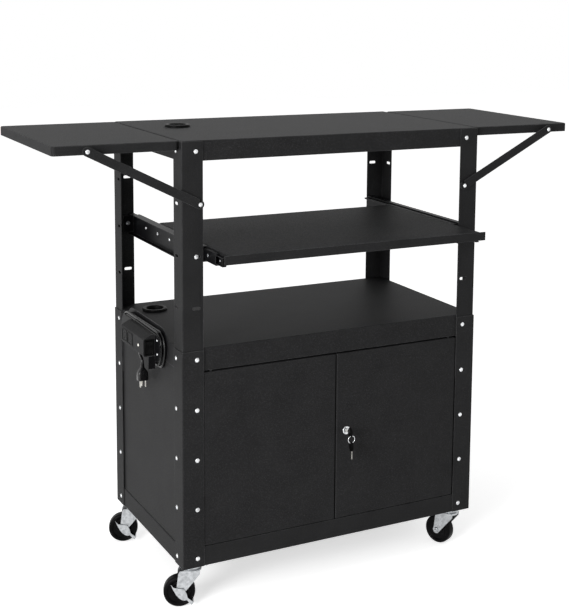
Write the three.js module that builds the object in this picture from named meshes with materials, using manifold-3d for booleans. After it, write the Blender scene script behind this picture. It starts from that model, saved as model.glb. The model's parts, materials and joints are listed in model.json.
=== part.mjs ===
// Audio visual cart: a black steel frame on castors with two drop leaves, a pull-out shelf,
// a cabinet with two doors and a power strip with its cord wound up on the left side.
// Lengths are in millimetres. +Z is up, the doors face -Y, and the origin is on the floor
// under the middle of the frame.
import * as THREE from 'three';
import { mergeVertices } from 'three/addons/utils/BufferGeometryUtils.js';
import Module from 'manifold-3d';

const wasm = await Module();
wasm.setup();

// Common clearances
const seatGap = 0.3;
const runningGap = 0.6;
const cutOverrun = 5;
const weldDistance = 0.0001;
const left = -1;
const right = 1;
const front = -1;
const rear = 1;

// Frame
const frameWidth = 762;
const frameDepth = 457;
const frameHeight = 1067;
const castorHeight = 102;
const halfWidth = frameWidth / 2;
const halfDepth = frameDepth / 2;

// Corner posts: upper angles nested inside lower angles
const postThickness = 1.8;
const postFold = 2.4;
const postFoldSteps = 3;
const upperPostFlange = 49;
const lowerPostFlange = upperPostFlange + seatGap + postThickness;
const postOverlap = 150;
const upperPostTopDrop = 1.5;
const lowerPostTopDrop = 5;
const lowerHalfWidth = halfWidth + seatGap + postThickness;
const lowerHalfDepth = halfDepth + seatGap + postThickness;
const flangeInnerEdge = halfWidth - upperPostFlange;
const firstSlotDrop = 138.5;
const slotPitch = 115.5;
const slotRows = 3;
const strutPinRow = 0;
const slotInset = 33;
const slotLength = 19;
const slotWidth = 7;
const slotArcSteps = 4;

// Shelves: folded pans
const shelfHalfX = halfWidth - postThickness - seatGap;
const shelfHalfY = halfDepth - postThickness - seatGap;
const shelfSheet = 1.2;
const shelfCorner = 3.5;
const foldRadius = 2.4;
const foldSteps = 2;
const topLip = 44.5;
const cabinetShelfTop = 607;
const cabinetShelfLip = 52;
const shelfReturn = 20;
const cabinetFloorTop = 147;
const floorHalfX = lowerHalfWidth - postThickness - seatGap;
const floorHalfY = lowerHalfDepth - postThickness - seatGap;
const gussetSize = 85;
const gussetThickness = 2;
const cornerArcSteps = 3;

// Cable grommets
const grommetRadius = 30;
const grommetBore = 20.5;
const grommetBarrel = 25;
const grommetHeight = 6;
const grommetDepth = 11;
const grommetRound = 2;
const topGrommetX = -281;
const topGrommetY = 56;
const lowerGrommetX = -310;
const lowerGrommetY = 142;
const grommetSides = 24;

// Cabinet walls and doors
const panelSheet = 1;
const doorSheet = 1.2;
const doorThickness = 14;
const doorCorner = 3;
const doorRecess = 1.5;
const doorSideGap = 1.5;
const doorMeetingGap = 3;
const doorBottomGap = 1.4;
const doorTopGap = 4;
const hingePinRadius = 2.8;
const hingePinHole = 3.1;
const hingePinMargin = 0.2;
const hingePinFromEdge = 18;
const hingePinReach = 2;
const catchWidth = 64;
const catchDepth = 14;
const catchHeight = 12;
const doorFront = -(lowerHalfDepth - doorRecess);
const doorBack = doorFront + doorThickness;
const doorEdge = flangeInnerEdge - doorSideGap;
const doorLow = cabinetFloorTop + doorBottomGap;
const cabinetCeiling = cabinetShelfTop - cabinetShelfLip;
const doorHigh = cabinetCeiling - doorTopGap;
const hingePinX = doorEdge - hingePinFromEdge;
const hingePinY = -(shelfHalfY - shelfSheet - hingePinHole - hingePinMargin);

// Cam lock and keys
const lockX = 27.5;
const lockZ = 363;
const barrelRadius = 8;
const barrelFlange = 10;
const barrelFlangeThickness = 3.2;
const barrelBore = 4.5;
const barrelLength = 15.5;
const plugRadius = 4.2;
const plugProud = 0.4;
const camLength = 38;
const camWidth = 13;
const camThickness = 1.5;
const keySlotWidth = 1.8;
const keySlotHeight = 7.4;
const keySlotDepth = 15;
const keyBladeThickness = 1.2;
const keyBladeHeight = 6.6;
const keyBladeInserted = 14;
const keyShank = 6;
const keyBowRadius = 11;
const keyBowThickness = 3;
const keyHoleRadius = 2.6;
const keyHoleOut = 6;
const keyHoleDrop = 5;
const keyFreeBlade = 21;
const keyRingRadius = 8.5;
const keyRingWire = 0.9;
const keyRingSides = 20;
const lockSides = 18;

// Drop leaves, their hinges and struts
const leafGap = 2;
const leafWidth = 274.5;
const leafDepth = 437;
const leafLip = 20.5;
const leafSheet = 1;
const leafCorner = 8;
const hingeSheet = 1;
const hingeHalfLength = 165;
const hingeKnuckles = 5;
const hingeKnuckleRadius = 1.75;
const hingePin = 0.9;
const hingeBore = 1.2;
const hingeBelowLeaf = 4;
const hingeStripHeight = 17;
const hingeKnuckleGap = 0.4;
const hingeSides = 8;
const leafInner = halfWidth + leafGap;
const leafOuter = leafInner + leafWidth;
const leafHingeX = (shelfHalfX + leafInner) / 2;
const leafHingeZ = frameHeight - leafLip - hingeBelowLeaf;
const strutPinInset = 40;
const strutPivotOut = 207;
const strutPivotDrop = 12;
const strutWidth = 20;
const strutThickness = 2;
const strutStandoff = 3.5;
const strutPinRadius = 3;
const strutPinHeadRadius = 5.5;
const strutPinHeadThickness = 2.4;
const strutBushRadius = 4.5;
const strutRivetHead = 2;
const strutNotchLeanShare = 0.25;
const strutSides = 12;
const strutPinX = halfWidth - strutPinInset;
const strutPinZ = slotHeight(strutPinRow);
const strutPivotX = halfWidth + strutPivotOut;
const strutPivotZ = frameHeight - strutPivotDrop;
const strutBack = -(halfDepth + strutStandoff);
const strutFront = strutBack - strutThickness;

// Pull-out shelf and its slides
const pullOut = 116;
const pullShelfTop = 834.5;
const pullShelfLip = 20;
const pullShelfDepth = 430;
const pullShelfSheet = 1.2;
const railHeight = 52;
const railDrop = 49.5;
const railLow = pullShelfTop - railDrop;
const railSheet = 1.5;
const railFlange = 13;
const railTabWidth = 27;
const railTabHeight = 40;
const slideDrop = 18;
const slideCentre = pullShelfTop - slideDrop;
const slideHeight = 35;
const slideThickness = 12;
const slideSheet = 1.4;
const slideHook = 2.4;
const slideFrontSetback = 4;
const slideLength = 440;
const runnerHeight = 20;
const runnerSheet = 1.4;
const runnerFlange = 9;
const runnerLength = 424;
const runnerFrontSetback = 20;
const runnerHoleLength = 9;
const runnerHoleWidth = 4.5;
const runnerHoleFromEnd = 71;
const bearingLength = 90;
const bearingThickness = 4;
const bearingFromEnd = 6;
const railInner = flangeInnerEdge;
const slideOuter = railInner - seatGap;
const slideInner = slideOuter - slideThickness;
const pullShelfHalfX = slideInner - railSheet - seatGap;
const pullShelfLipHalfX = flangeInnerEdge - doorSideGap;
const pullShelfFront = -(halfDepth + pullOut);

// Castors
const castorInsetX = 33;
const castorInsetY = 32.5;
const wheelRadius = 36;
const wheelWidth = 25;
const wheelEdge = 4;
const wheelRim = 9;
const wheelHubRadius = 13;
const wheelHubRecess = 3;
const wheelBore = 4.6;
const wheelSides = 24;
const axleRadius = 4;
const castorOffset = 29.5;
const castorPlateX = 62;
const castorPlateY = 54;
const castorPlateThickness = 2.5;
const castorCupRadius = 23;
const castorCupHeight = 9.2;
const forkCrownHeight = 5.7;
const forkCrownRadius = 21;
const forkSheet = 2;
const forkWheelGap = 2;
const forkHalfTop = 17;
const forkShoulder = 6;
const forkBackReach = 32;
const forkBackRise = 4;
const forkBossRadius = 9;
const forkAxleEnd = 0.7;
const castorSides = 20;
const leverSheet = 1.8;
const leverGap = 1;
const leverPivotX = -0.5;
const leverPivotZ = -6;
const leverPinRadius = 3;
const leverShoeGap = 1.3;
const leverShoeThickness = 2.4;
const leverShoeWidth = 7;
const leverShoeDegrees = -47;
const leverPedalReach = 19.5;
const leverPedalRise = 22;
const leverBand = 11;
const leverBellyShares = [-0.25, -2.15];
const leverHeelShares = [1.5, -1.55];
const leverBrowShares = [[1.65, -1.05], [1.45, -0.15], [0.95, 0.8], [-1.2, 1.25]];
const castorTrailDegrees = { FL: -20, FR: -66, RL: -20, RR: -30 };

// Power strip, its winder and the wound cord
const cordDiameter = 6.4;
const cordPitch = 7.2;
const cordTurns = 4;
const cordClimbTurns = 0.5;
const cordRun = 195;
const cordOuterRadius = 34;
const cordSag = 20;
const cordSides = 6;
const cordTurnSteps = 9;
const cordLongRunSteps = 3;
const windingY = 2.5;
const windingDrop = 20;
const windingZ = cabinetShelfTop - windingDrop;
const windingStart = 70;
const winderSheet = 1.5;
const winderEarSheet = 1.3;
const winderEarTop = 25;
const winderEarLength = 45;
const winderFootReach = 17;
const winderFootDrop = 30;
const winderFootWidth = 1.5;
const winderRim = 4;
const winderHubGap = 0.5;
const cordToPlate = 0.4;
const cordToEar = 1;
const housingDepth = 27.8;
const housingRear = 54;
const housingFront = -98;
const housingDrop = 23;
const housingFaceHeight = 42;
const housingRidgeHeight = 50;
const housingRidgeWidth = 9;
const housingChamfer = 3;
const outletPitch = 38;
const outletFirst = 30;
const outletCount = 2;
const outletDepth = 8;
const outletBladeLength = 8.2;
const outletBladeWidth = 2.2;
const outletBladeSpacing = 12.7;
const outletGroundRadius = 2.4;
const outletGroundOffset = 11.5;
const rockerLength = 30;
const rockerWidth = 18;
const rockerDepth = 8;
const rockerProud = 3.3;
const rockerClearance = 1.2;
const reliefLength = 14;
const reliefHalf = 3.3;
const plugLength = 40;
const plugNeckHalf = 5.5;
const plugHalfX = 12.5;
const plugHalfY = 9;
const plugShoulderShare = 0.55;
const plugBladeLength = 16;
const plugBladeWide = 6.4;
const plugBladeThick = 1.6;
const plugBladeSpacing = 12.7;
const plugGroundRadius = 2.4;
const plugGroundOffset = 5;
const winderBack = -(shelfHalfX + seatGap);
const winderFace = winderBack - winderSheet;
const cordLayerOne = winderFace - cordToPlate - cordDiameter / 2;
const cordLayerTwo = cordLayerOne - cordPitch;
const winderEarBack = cordLayerTwo - cordDiameter / 2 - cordToEar;
const housingBack = winderEarBack - winderEarSheet - seatGap;
const housingFace = housingBack - housingDepth;
const housingLow = windingZ - housingDrop;
const housingMiddle = housingLow + housingFaceHeight / 2;
const housingCentreX = (housingFace + housingBack) / 2;

// Route of the cord's free end, from the winding down to the plug, measured from the outer
// layer, the winding's start and the winding's middle height
const leadRoute = [
  [0, -7.1, -34.2],
  [0, -16, -35.7],
  [-0.4, -28, -37.2],
  [-2.1, -43, -39.3],
  [-4.4, -58, -42.5],
  [-5.9, -71, -46.8],
  [-6.5, -80.5, -51.6],
  [-6.5, -84.5, -57.2],
  [-6.5, -84.5, -62.7],
];
const leadPoints = leadRoute.map(([x, y, z]) => [cordLayerTwo + x, windingStart + y, windingZ + z]);
const [plugX, plugY, leadEndZ] = leadPoints[leadPoints.length - 1];
const plugTop = leadEndZ - seatGap;
const leadSides = 8;
const leadSteps = 20;

// Materials
const blackSteel = steel(0x1c1c1d, 0.52, 0.35);
const blackSlide = steel(0x111112, 0.35, 0.6);
const zinc = steel(0xc9ccce, 0.3, 0.9);
const chrome = steel(0xd8dadc, 0.15, 1);
const blackPlastic = steel(0x131313, 0.5, 0);
const blackRubber = steel(0x17171a, 0.7, 0);

function steel(color, roughness, metalness) {
  return new THREE.MeshStandardMaterial({ color, roughness, metalness });
}

// Rows of slots are counted from the top of the upper posts
function slotHeight(row) {
  return frameHeight - firstSlotDrop - row * slotPitch;
}

// Solids
function solidOf(geometry) {
  const bare = geometry.clone();
  bare.deleteAttribute('normal');
  bare.deleteAttribute('uv');
  const merged = mergeVertices(bare, weldDistance);
  const corners = merged.index.array;
  const kept = [];
  for (let i = 0; i < corners.length; i += 3) {
    const [a, b, c] = corners.slice(i, i + 3);
    if (a !== b && b !== c && a !== c) kept.push(a, b, c);
  }
  const vertProperties = new Float32Array(merged.attributes.position.array);
  const triVerts = new Uint32Array(kept);
  return new wasm.Manifold(new wasm.Mesh({ numProp: 3, vertProperties, triVerts }));
}

function geometryOf(solid) {
  const mesh = solid.getMesh();
  const geometry = new THREE.BufferGeometry();
  geometry.setAttribute('position', new THREE.BufferAttribute(mesh.vertProperties, 3));
  geometry.setIndex(new THREE.BufferAttribute(mesh.triVerts, 1));
  geometry.computeVertexNormals();
  return geometry;
}

function join(first, ...others) {
  return others.reduce((whole, next) => whole.add(next), first);
}

function cut(base, ...tools) {
  return tools.reduce((rest, tool) => rest.subtract(tool), base);
}

function block([x0, x1], [y0, y1], [z0, z1]) {
  const geometry = new THREE.BoxGeometry(Math.abs(x1 - x0), Math.abs(y1 - y0), Math.abs(z1 - z0));
  geometry.translate((x0 + x1) / 2, (y0 + y1) / 2, (z0 + z1) / 2);
  return solidOf(geometry);
}

function shapeOf(points) {
  return new THREE.Shape(points.map(([a, b]) => new THREE.Vector2(a, b)));
}

function extruded(shape, length, curveSegments) {
  return new THREE.ExtrudeGeometry(shape, { depth: length, bevelEnabled: false, curveSegments });
}

function prismZ(shape, low, high, curveSegments = cornerArcSteps) {
  const geometry = extruded(shape, high - low, curveSegments);
  geometry.translate(0, 0, low);
  return solidOf(geometry);
}

// The shape's axes are X and Z
function prismY(shape, low, high, curveSegments = cornerArcSteps) {
  const geometry = extruded(shape, high - low, curveSegments);
  geometry.rotateX(Math.PI / 2);
  geometry.translate(0, high, 0);
  return solidOf(geometry);
}

// The shape's axes are Y and Z
function prismX(shape, low, high, curveSegments = cornerArcSteps) {
  const geometry = extruded(shape, high - low, curveSegments);
  const alongX = new THREE.Vector3(1, 0, 0);
  const alongY = new THREE.Vector3(0, 1, 0);
  const alongZ = new THREE.Vector3(0, 0, 1);
  geometry.applyMatrix4(new THREE.Matrix4().makeBasis(alongY, alongZ, alongX));
  geometry.translate(low, 0, 0);
  return solidOf(geometry);
}

function disc(radius, centreA = 0, centreB = 0) {
  return new THREE.Shape().absarc(centreA, centreB, radius, 0, Math.PI * 2);
}

function rodX(radius, y, z, low, high, sides) {
  return prismX(disc(radius, y, z), Math.min(low, high), Math.max(low, high), sides);
}

function rodY(radius, x, z, low, high, sides) {
  return prismY(disc(radius, x, z), Math.min(low, high), Math.max(low, high), sides);
}

function rodZ(radius, x, y, low, high, sides) {
  return prismZ(disc(radius, x, y), low, high, sides);
}

// A profile of radius and height turned about the Y axis
function turnedY(profile, sides, startAngle = 0) {
  const points = profile.map(([radius, height]) => new THREE.Vector2(radius, height));
  if (THREE.ShapeUtils.area(points) < 0) points.reverse();
  if (profile[0][0] > 0) points.push(points[0].clone());
  return new THREE.LatheGeometry(points, sides, startAngle);
}

function turnedZ(profile, sides) {
  return turnedY(profile, sides).rotateX(Math.PI / 2);
}

function roundedRectangle(halfA, halfB, corner, centreA = 0, centreB = 0) {
  const shape = new THREE.Shape();
  const quarter = Math.PI / 2;
  shape.absarc(centreA + halfA - corner, centreB + halfB - corner, corner, 0, quarter);
  shape.absarc(centreA - halfA + corner, centreB + halfB - corner, corner, quarter, 2 * quarter);
  shape.absarc(centreA - halfA + corner, centreB - halfB + corner, corner, 2 * quarter, 3 * quarter);
  shape.absarc(centreA + halfA - corner, centreB - halfB + corner, corner, 3 * quarter, 4 * quarter);
  return shape;
}

function slotShape(centreA, centreB, length, width) {
  return roundedRectangle(length / 2, width / 2, width / 2, centreA, centreB);
}

// A rounded slab whose upper edges are folded over; it reaches below zero by more than its depth
function foldedSlab(halfA, halfB, corner, depth, centreA = 0, centreB = 0) {
  const flatA = halfA - foldRadius;
  const flatB = halfB - foldRadius;
  const shape = roundedRectangle(flatA, flatB, corner - foldRadius, centreA, centreB);
  const slab = new THREE.ExtrudeGeometry(shape, {
    depth,
    bevelThickness: foldRadius,
    bevelSize: foldRadius,
    bevelSegments: foldSteps,
    curveSegments: cornerArcSteps,
  });
  return slab.translate(0, 0, -depth - foldRadius);
}

// A folded pan, open below
function sheetPan([centreX, centreY], halfX, halfY, top, drop, sheet, corner) {
  const slab = foldedSlab(halfX, halfY, corner, drop, centreX, centreY).translate(0, 0, top);
  const low = top - drop;
  const across = halfX + cutOverrun;
  const deep = halfY + cutOverrun;
  const below = block(
    [centreX - across, centreX + across],
    [centreY - deep, centreY + deep],
    [low - 2 * foldRadius, low],
  );
  const inner = roundedRectangle(halfX - sheet, halfY - sheet, corner - sheet, centreX, centreY);
  return cut(solidOf(slab), below, prismZ(inner, low - cutOverrun, top - sheet));
}

// The finished assembly
const cart = new THREE.Group();

function add(name, solid, material, parent = cart) {
  const geometry = solid.isBufferGeometry ? geometryOf(solidOf(solid)) : geometryOf(solid);
  const mesh = new THREE.Mesh(geometry, material);
  mesh.name = name;
  parent.add(mesh);
  return mesh;
}

// Posts
function anglePost(sideX, sideY, outerX, outerY, flange, low, high) {
  const fold = [];
  for (let step = 0; step <= postFoldSteps; step += 1) {
    const angle = (step / postFoldSteps) * (Math.PI / 2);
    const x = outerX - postFold + postFold * Math.cos(angle);
    fold.push([x, outerY - postFold + postFold * Math.sin(angle)]);
  }
  const outline = [
    ...fold,
    [outerX - flange, outerY],
    [outerX - flange, outerY - postThickness],
    [outerX - postThickness, outerY - postThickness],
    [outerX - postThickness, outerY - flange],
    [outerX, outerY - flange],
  ];
  return prismZ(shapeOf(outline.map(([x, y]) => [x * sideX, y * sideY])), low, high);
}

function slotThroughFront(sideX, sideY, row) {
  const shape = slotShape(sideX * (halfWidth - slotInset), slotHeight(row), slotLength, slotWidth);
  const middle = sideY * (halfDepth - postThickness / 2);
  return prismY(shape, middle - cutOverrun, middle + cutOverrun, slotArcSteps / 2);
}

function slotThroughSide(sideX, sideY, row) {
  const shape = slotShape(sideY * (halfDepth - slotInset), slotHeight(row), slotLength, slotWidth);
  const middle = sideX * (halfWidth - postThickness / 2);
  return prismX(shape, middle - cutOverrun, middle + cutOverrun, slotArcSteps / 2);
}

function strutPin(sideX) {
  const headBack = strutFront - runningGap / 2;
  const headFront = headBack - strutPinHeadThickness;
  const shaftFront = (headBack + headFront) / 2;
  const shaftBack = -halfDepth + postThickness;
  const x = sideX * strutPinX;
  const shaft = rodY(strutPinRadius, x, strutPinZ, shaftFront, shaftBack, strutSides);
  const head = rodY(strutPinHeadRadius, x, strutPinZ, headFront, headBack, strutSides);
  return join(shaft, head);
}

function upperPost(sideX, sideY) {
  const low = cabinetShelfTop - lowerPostTopDrop - postOverlap;
  const high = frameHeight - upperPostTopDrop;
  const bar = anglePost(sideX, sideY, halfWidth, halfDepth, upperPostFlange, low, high);
  const slots = [];
  for (let row = 0; row < slotRows; row += 1) {
    slots.push(slotThroughSide(sideX, sideY, row));
    const holdsPin = sideY === front && row === strutPinRow;
    if (!holdsPin) slots.push(slotThroughFront(sideX, sideY, row));
  }
  const slotted = cut(bar, ...slots);
  return sideY === front ? join(slotted, strutPin(sideX)) : slotted;
}

function lowerPost(sideX, sideY) {
  const high = cabinetShelfTop - lowerPostTopDrop;
  return anglePost(sideX, sideY, lowerHalfWidth, lowerHalfDepth, lowerPostFlange, castorHeight, high);
}

function addPosts() {
  for (const [end, sideY] of [['F', front], ['R', rear]]) {
    for (const [hand, sideX] of [['L', left], ['R', right]]) {
      add(`upper_post_${end}${hand}`, upperPost(sideX, sideY), blackSteel);
      add(`lower_post_${end}${hand}`, lowerPost(sideX, sideY), blackSteel);
    }
  }
}

// Shelves
function topShelf() {
  const pan = sheetPan([0, 0], shelfHalfX, shelfHalfY, frameHeight, topLip, shelfSheet, shelfCorner);
  return cut(pan, grommetHole(topGrommetX, topGrommetY, frameHeight));
}

function grommetHole(x, y, top) {
  return rodZ(grommetBarrel + seatGap, x, y, top - cutOverrun, top + cutOverrun, grommetSides);
}

function pinHole(sideX, z) {
  return rodZ(hingePinHole, sideX * hingePinX, hingePinY, z - cutOverrun, z + cutOverrun, strutSides);
}

function cabinetShelf() {
  const size = [shelfHalfX, shelfHalfY, cabinetShelfTop, cabinetShelfLip];
  const pan = sheetPan([0, 0], ...size, shelfSheet, shelfCorner);
  const edge = shelfHalfX - shelfSheet / 2;
  const lipMiddle = shelfHalfY - shelfSheet / 2;
  const height = [cabinetCeiling, cabinetCeiling + shelfSheet];
  const frontReturn = block([-edge, edge], [-lipMiddle, -lipMiddle + shelfReturn], height);
  const rearReturn = block([-edge, edge], [lipMiddle - shelfReturn, lipMiddle], height);
  const holes = [left, right].map((sideX) => pinHole(sideX, cabinetCeiling));
  const cableHole = grommetHole(lowerGrommetX, lowerGrommetY, cabinetShelfTop);
  return cut(join(pan, frontReturn, rearReturn), cableHole, ...holes);
}

function cornerGusset(sideX, sideY) {
  const outerX = floorHalfX - shelfSheet / 2;
  const outerY = floorHalfY - shelfSheet / 2;
  const corners = [
    [outerX, outerY],
    [outerX - gussetSize, outerY],
    [outerX - gussetSize, outerY - gussetSize],
    [outerX, outerY - gussetSize],
  ];
  const shape = shapeOf(corners.map(([x, y]) => [x * sideX, y * sideY]));
  return prismZ(shape, castorHeight, castorHeight + gussetThickness);
}

function cabinetFloor() {
  const drop = cabinetFloorTop - castorHeight;
  const pan = sheetPan([0, 0], floorHalfX, floorHalfY, cabinetFloorTop, drop, shelfSheet, shelfCorner);
  const gussets = [
    cornerGusset(left, front),
    cornerGusset(right, front),
    cornerGusset(left, rear),
    cornerGusset(right, rear),
  ];
  const holes = [left, right].map((sideX) => pinHole(sideX, cabinetFloorTop));
  return cut(join(pan, ...gussets), ...holes);
}

function grommet() {
  return turnedZ([
    [grommetBore, -grommetDepth],
    [grommetBarrel, -grommetDepth],
    [grommetBarrel, seatGap],
    [grommetRadius, seatGap],
    [grommetRadius, grommetHeight - grommetRound],
    [grommetRadius - grommetRound, grommetHeight],
    [grommetBore + grommetRound, grommetHeight],
    [grommetBore, grommetHeight - grommetRound],
  ], grommetSides);
}

function addShelves() {
  add('top_shelf', topShelf(), blackSteel);
  add('cabinet_shelf', cabinetShelf(), blackSteel);
  add('cabinet_floor', cabinetFloor(), blackSteel);
  add('grommet_top', grommet(), blackPlastic).position.set(topGrommetX, topGrommetY, frameHeight);
  add('grommet_shelf', grommet(), blackPlastic).position.set(lowerGrommetX, lowerGrommetY, cabinetShelfTop);
}

// Cabinet walls
function addWalls() {
  const height = [cabinetFloorTop + seatGap, cabinetCeiling - seatGap];
  const backInner = shelfHalfY - panelSheet;
  for (const [hand, sideX] of [['left', left], ['right', right]]) {
    const width = [sideX * (shelfHalfX - panelSheet), sideX * shelfHalfX];
    add(`side_panel_${hand}`, block(width, [-shelfHalfY, backInner - seatGap], height), blackSteel);
  }
  const halfBack = shelfHalfX - panelSheet - seatGap;
  add('back_panel', block([-halfBack, halfBack], [backInner, shelfHalfY], height), blackSteel);
}

// Doors
function doorPins(sideX) {
  const x = sideX * hingePinX;
  const topReach = cabinetCeiling + shelfSheet + hingePinReach;
  const lowReach = cabinetFloorTop - shelfSheet - hingePinReach;
  const upper = rodZ(hingePinRadius, x, hingePinY, doorHigh - doorSheet, topReach, strutSides / 2);
  const lower = rodZ(hingePinRadius, x, hingePinY, lowReach, doorLow + doorSheet, strutSides / 2);
  return [upper, lower];
}

function door(sideX) {
  const inner = doorMeetingGap / 2;
  const halfX = (doorEdge - inner) / 2;
  const halfZ = (doorHigh - doorLow) / 2;
  const centreX = sideX * (doorEdge + inner) / 2;
  const centreZ = (doorHigh + doorLow) / 2;
  const slab = foldedSlab(halfX, halfZ, doorCorner, doorThickness, centreX, centreZ);
  const shell = solidOf(slab.rotateX(Math.PI / 2).translate(0, doorFront, 0));
  const width = [centreX - halfX, centreX + halfX];
  const height = [doorLow, doorHigh];
  const behind = block(
    [width[0] - cutOverrun, width[1] + cutOverrun],
    [doorBack, doorBack + 2 * foldRadius],
    [height[0] - cutOverrun, height[1] + cutOverrun],
  );
  const hollow = block(
    [width[0] + doorSheet, width[1] - doorSheet],
    [doorFront + doorSheet, doorBack + cutOverrun],
    [height[0] + doorSheet, height[1] - doorSheet],
  );
  return join(cut(shell, behind, hollow), ...doorPins(sideX));
}

function lockHole() {
  const reach = doorFront + cutOverrun;
  return rodY(barrelRadius + seatGap, lockX, lockZ, doorFront - cutOverrun, reach, lockSides);
}

function doorCatch() {
  const top = cabinetCeiling - seatGap;
  const face = doorBack + seatGap;
  return block([-catchWidth / 2, catchWidth / 2], [face, face + catchDepth], [top - catchHeight, top]);
}

function addDoors() {
  add('door_left', door(left), blackSteel);
  add('door_right', cut(door(right), lockHole()), blackSteel);
  add('door_catch', doorCatch(), blackPlastic);
}

// Lock, with its key and a spare on a ring
const flangeBack = doorFront - seatGap;
const flangeFront = flangeBack - barrelFlangeThickness;
const barrelBack = doorFront + barrelLength;
const plugFront = flangeFront - plugProud;
const camFront = barrelBack + seatGap;
const camBack = camFront + camThickness;
const keyBowY = plugFront - keyShank - keyBowRadius;
const keyHoleY = keyBowY - keyHoleOut;
const keyHoleZ = lockZ - keyHoleDrop;
const keyHoleSlack = keyHoleRadius - keyRingWire - seatGap;
const ringCentreZ = keyHoleZ - keyHoleSlack - keyRingRadius;
const spareHoleZ = ringCentreZ - keyRingRadius - keyHoleSlack;

function lockBarrel() {
  return turnedY([
    [barrelBore, barrelBack],
    [barrelRadius, barrelBack],
    [barrelRadius, flangeBack],
    [barrelFlange, flangeBack],
    [barrelFlange, flangeFront],
    [barrelBore, flangeFront],
  ], lockSides).translate(lockX, 0, lockZ);
}

function lockPlug() {
  const plug = rodY(plugRadius, lockX, lockZ, plugFront, camBack, lockSides);
  const camShape = slotShape(lockZ - camLength / 2, lockX, camLength + camWidth, camWidth);
  const camOutline = camShape.getPoints(slotArcSteps).map((point) => [point.y, point.x]);
  const cam = prismY(shapeOf(camOutline), camFront, camBack);
  const slot = block(
    [lockX - keySlotWidth / 2, lockX + keySlotWidth / 2],
    [plugFront - cutOverrun, plugFront + keySlotDepth],
    [lockZ - keySlotHeight / 2, lockZ + keySlotHeight / 2],
  );
  return cut(join(plug, cam), slot);
}

function keyBow(centreY, centreZ, holeY, holeZ) {
  const face = [lockX - keyBowThickness / 2, lockX + keyBowThickness / 2];
  const bow = rodX(keyBowRadius, centreY, centreZ, face[0], face[1], lockSides);
  const hole = rodX(keyHoleRadius, holeY, holeZ, lockX - cutOverrun, lockX + cutOverrun, lockSides);
  return [bow, hole];
}

function lockKey() {
  const [bow, hole] = keyBow(keyBowY, lockZ, keyHoleY, keyHoleZ);
  const blade = block(
    [lockX - keyBladeThickness / 2, lockX + keyBladeThickness / 2],
    [keyBowY, plugFront + keyBladeInserted],
    [lockZ - keyBladeHeight / 2, lockZ + keyBladeHeight / 2],
  );
  return cut(join(blade, bow), hole);
}

function spareKey() {
  const bowZ = spareHoleZ - keyBowRadius + keyHoleRadius + keyBladeThickness;
  const [bow, hole] = keyBow(keyHoleY, bowZ, keyHoleY, spareHoleZ);
  const blade = block(
    [lockX - keyBladeThickness / 2, lockX + keyBladeThickness / 2],
    [keyHoleY - keyBladeHeight / 2, keyHoleY + keyBladeHeight / 2],
    [bowZ - keyBowRadius - keyFreeBlade, bowZ - keyBowRadius / 2],
  );
  return cut(join(blade, bow), hole);
}

function keyRing() {
  const ring = new THREE.TorusGeometry(keyRingRadius, keyRingWire, cordSides, keyRingSides);
  return ring.rotateX(Math.PI / 2).translate(lockX, keyHoleY, ringCentreZ);
}

function addLock() {
  add('lock_barrel', lockBarrel(), chrome);
  add('lock_plug', lockPlug(), chrome);
  add('key', lockKey(), blackPlastic);
  add('key_ring', keyRing(), chrome);
  add('spare_key', spareKey(), zinc);
}

// Drop leaves
function leaf(sideX) {
  const centre = sideX * (leafInner + leafOuter) / 2;
  return sheetPan([centre, 0], leafWidth / 2, leafDepth / 2, frameHeight, leafLip, leafSheet, leafCorner);
}

function knuckleSpan(index) {
  const pitch = (2 * hingeHalfLength) / hingeKnuckles;
  const start = -hingeHalfLength + index * pitch;
  return [start + hingeKnuckleGap / 2, start + pitch - hingeKnuckleGap / 2];
}

// One half of a leaf hinge: a strip with a knuckle on every second place
function hingeHalf(sideX, stripInner, firstKnuckle) {
  const strip = [sideX * stripInner, sideX * (stripInner + hingeSheet)];
  const low = leafHingeZ + hingeKnuckleRadius + hingeKnuckleGap;
  const pieces = [block(strip, [-hingeHalfLength, hingeHalfLength], [low, low + hingeStripHeight])];
  for (let index = firstKnuckle; index < hingeKnuckles; index += 2) {
    const span = knuckleSpan(index);
    pieces.push(rodY(hingeKnuckleRadius, sideX * leafHingeX, leafHingeZ, span[0], span[1], hingeSides));
    pieces.push(block(strip, span, [leafHingeZ, low + hingeKnuckleGap]));
  }
  return join(...pieces);
}

function fixedHinge(sideX) {
  const x = sideX * leafHingeX;
  const pin = rodY(hingePin, x, leafHingeZ, -hingeHalfLength, hingeHalfLength, hingeSides / 2);
  return join(hingeHalf(sideX, shelfHalfX + seatGap, 0), pin);
}

function movingHinge(sideX) {
  const bore = rodY(hingeBore, sideX * leafHingeX, leafHingeZ, -halfDepth, halfDepth, hingeSides);
  return cut(hingeHalf(sideX, leafInner - seatGap - hingeSheet, 1), bore);
}

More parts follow.
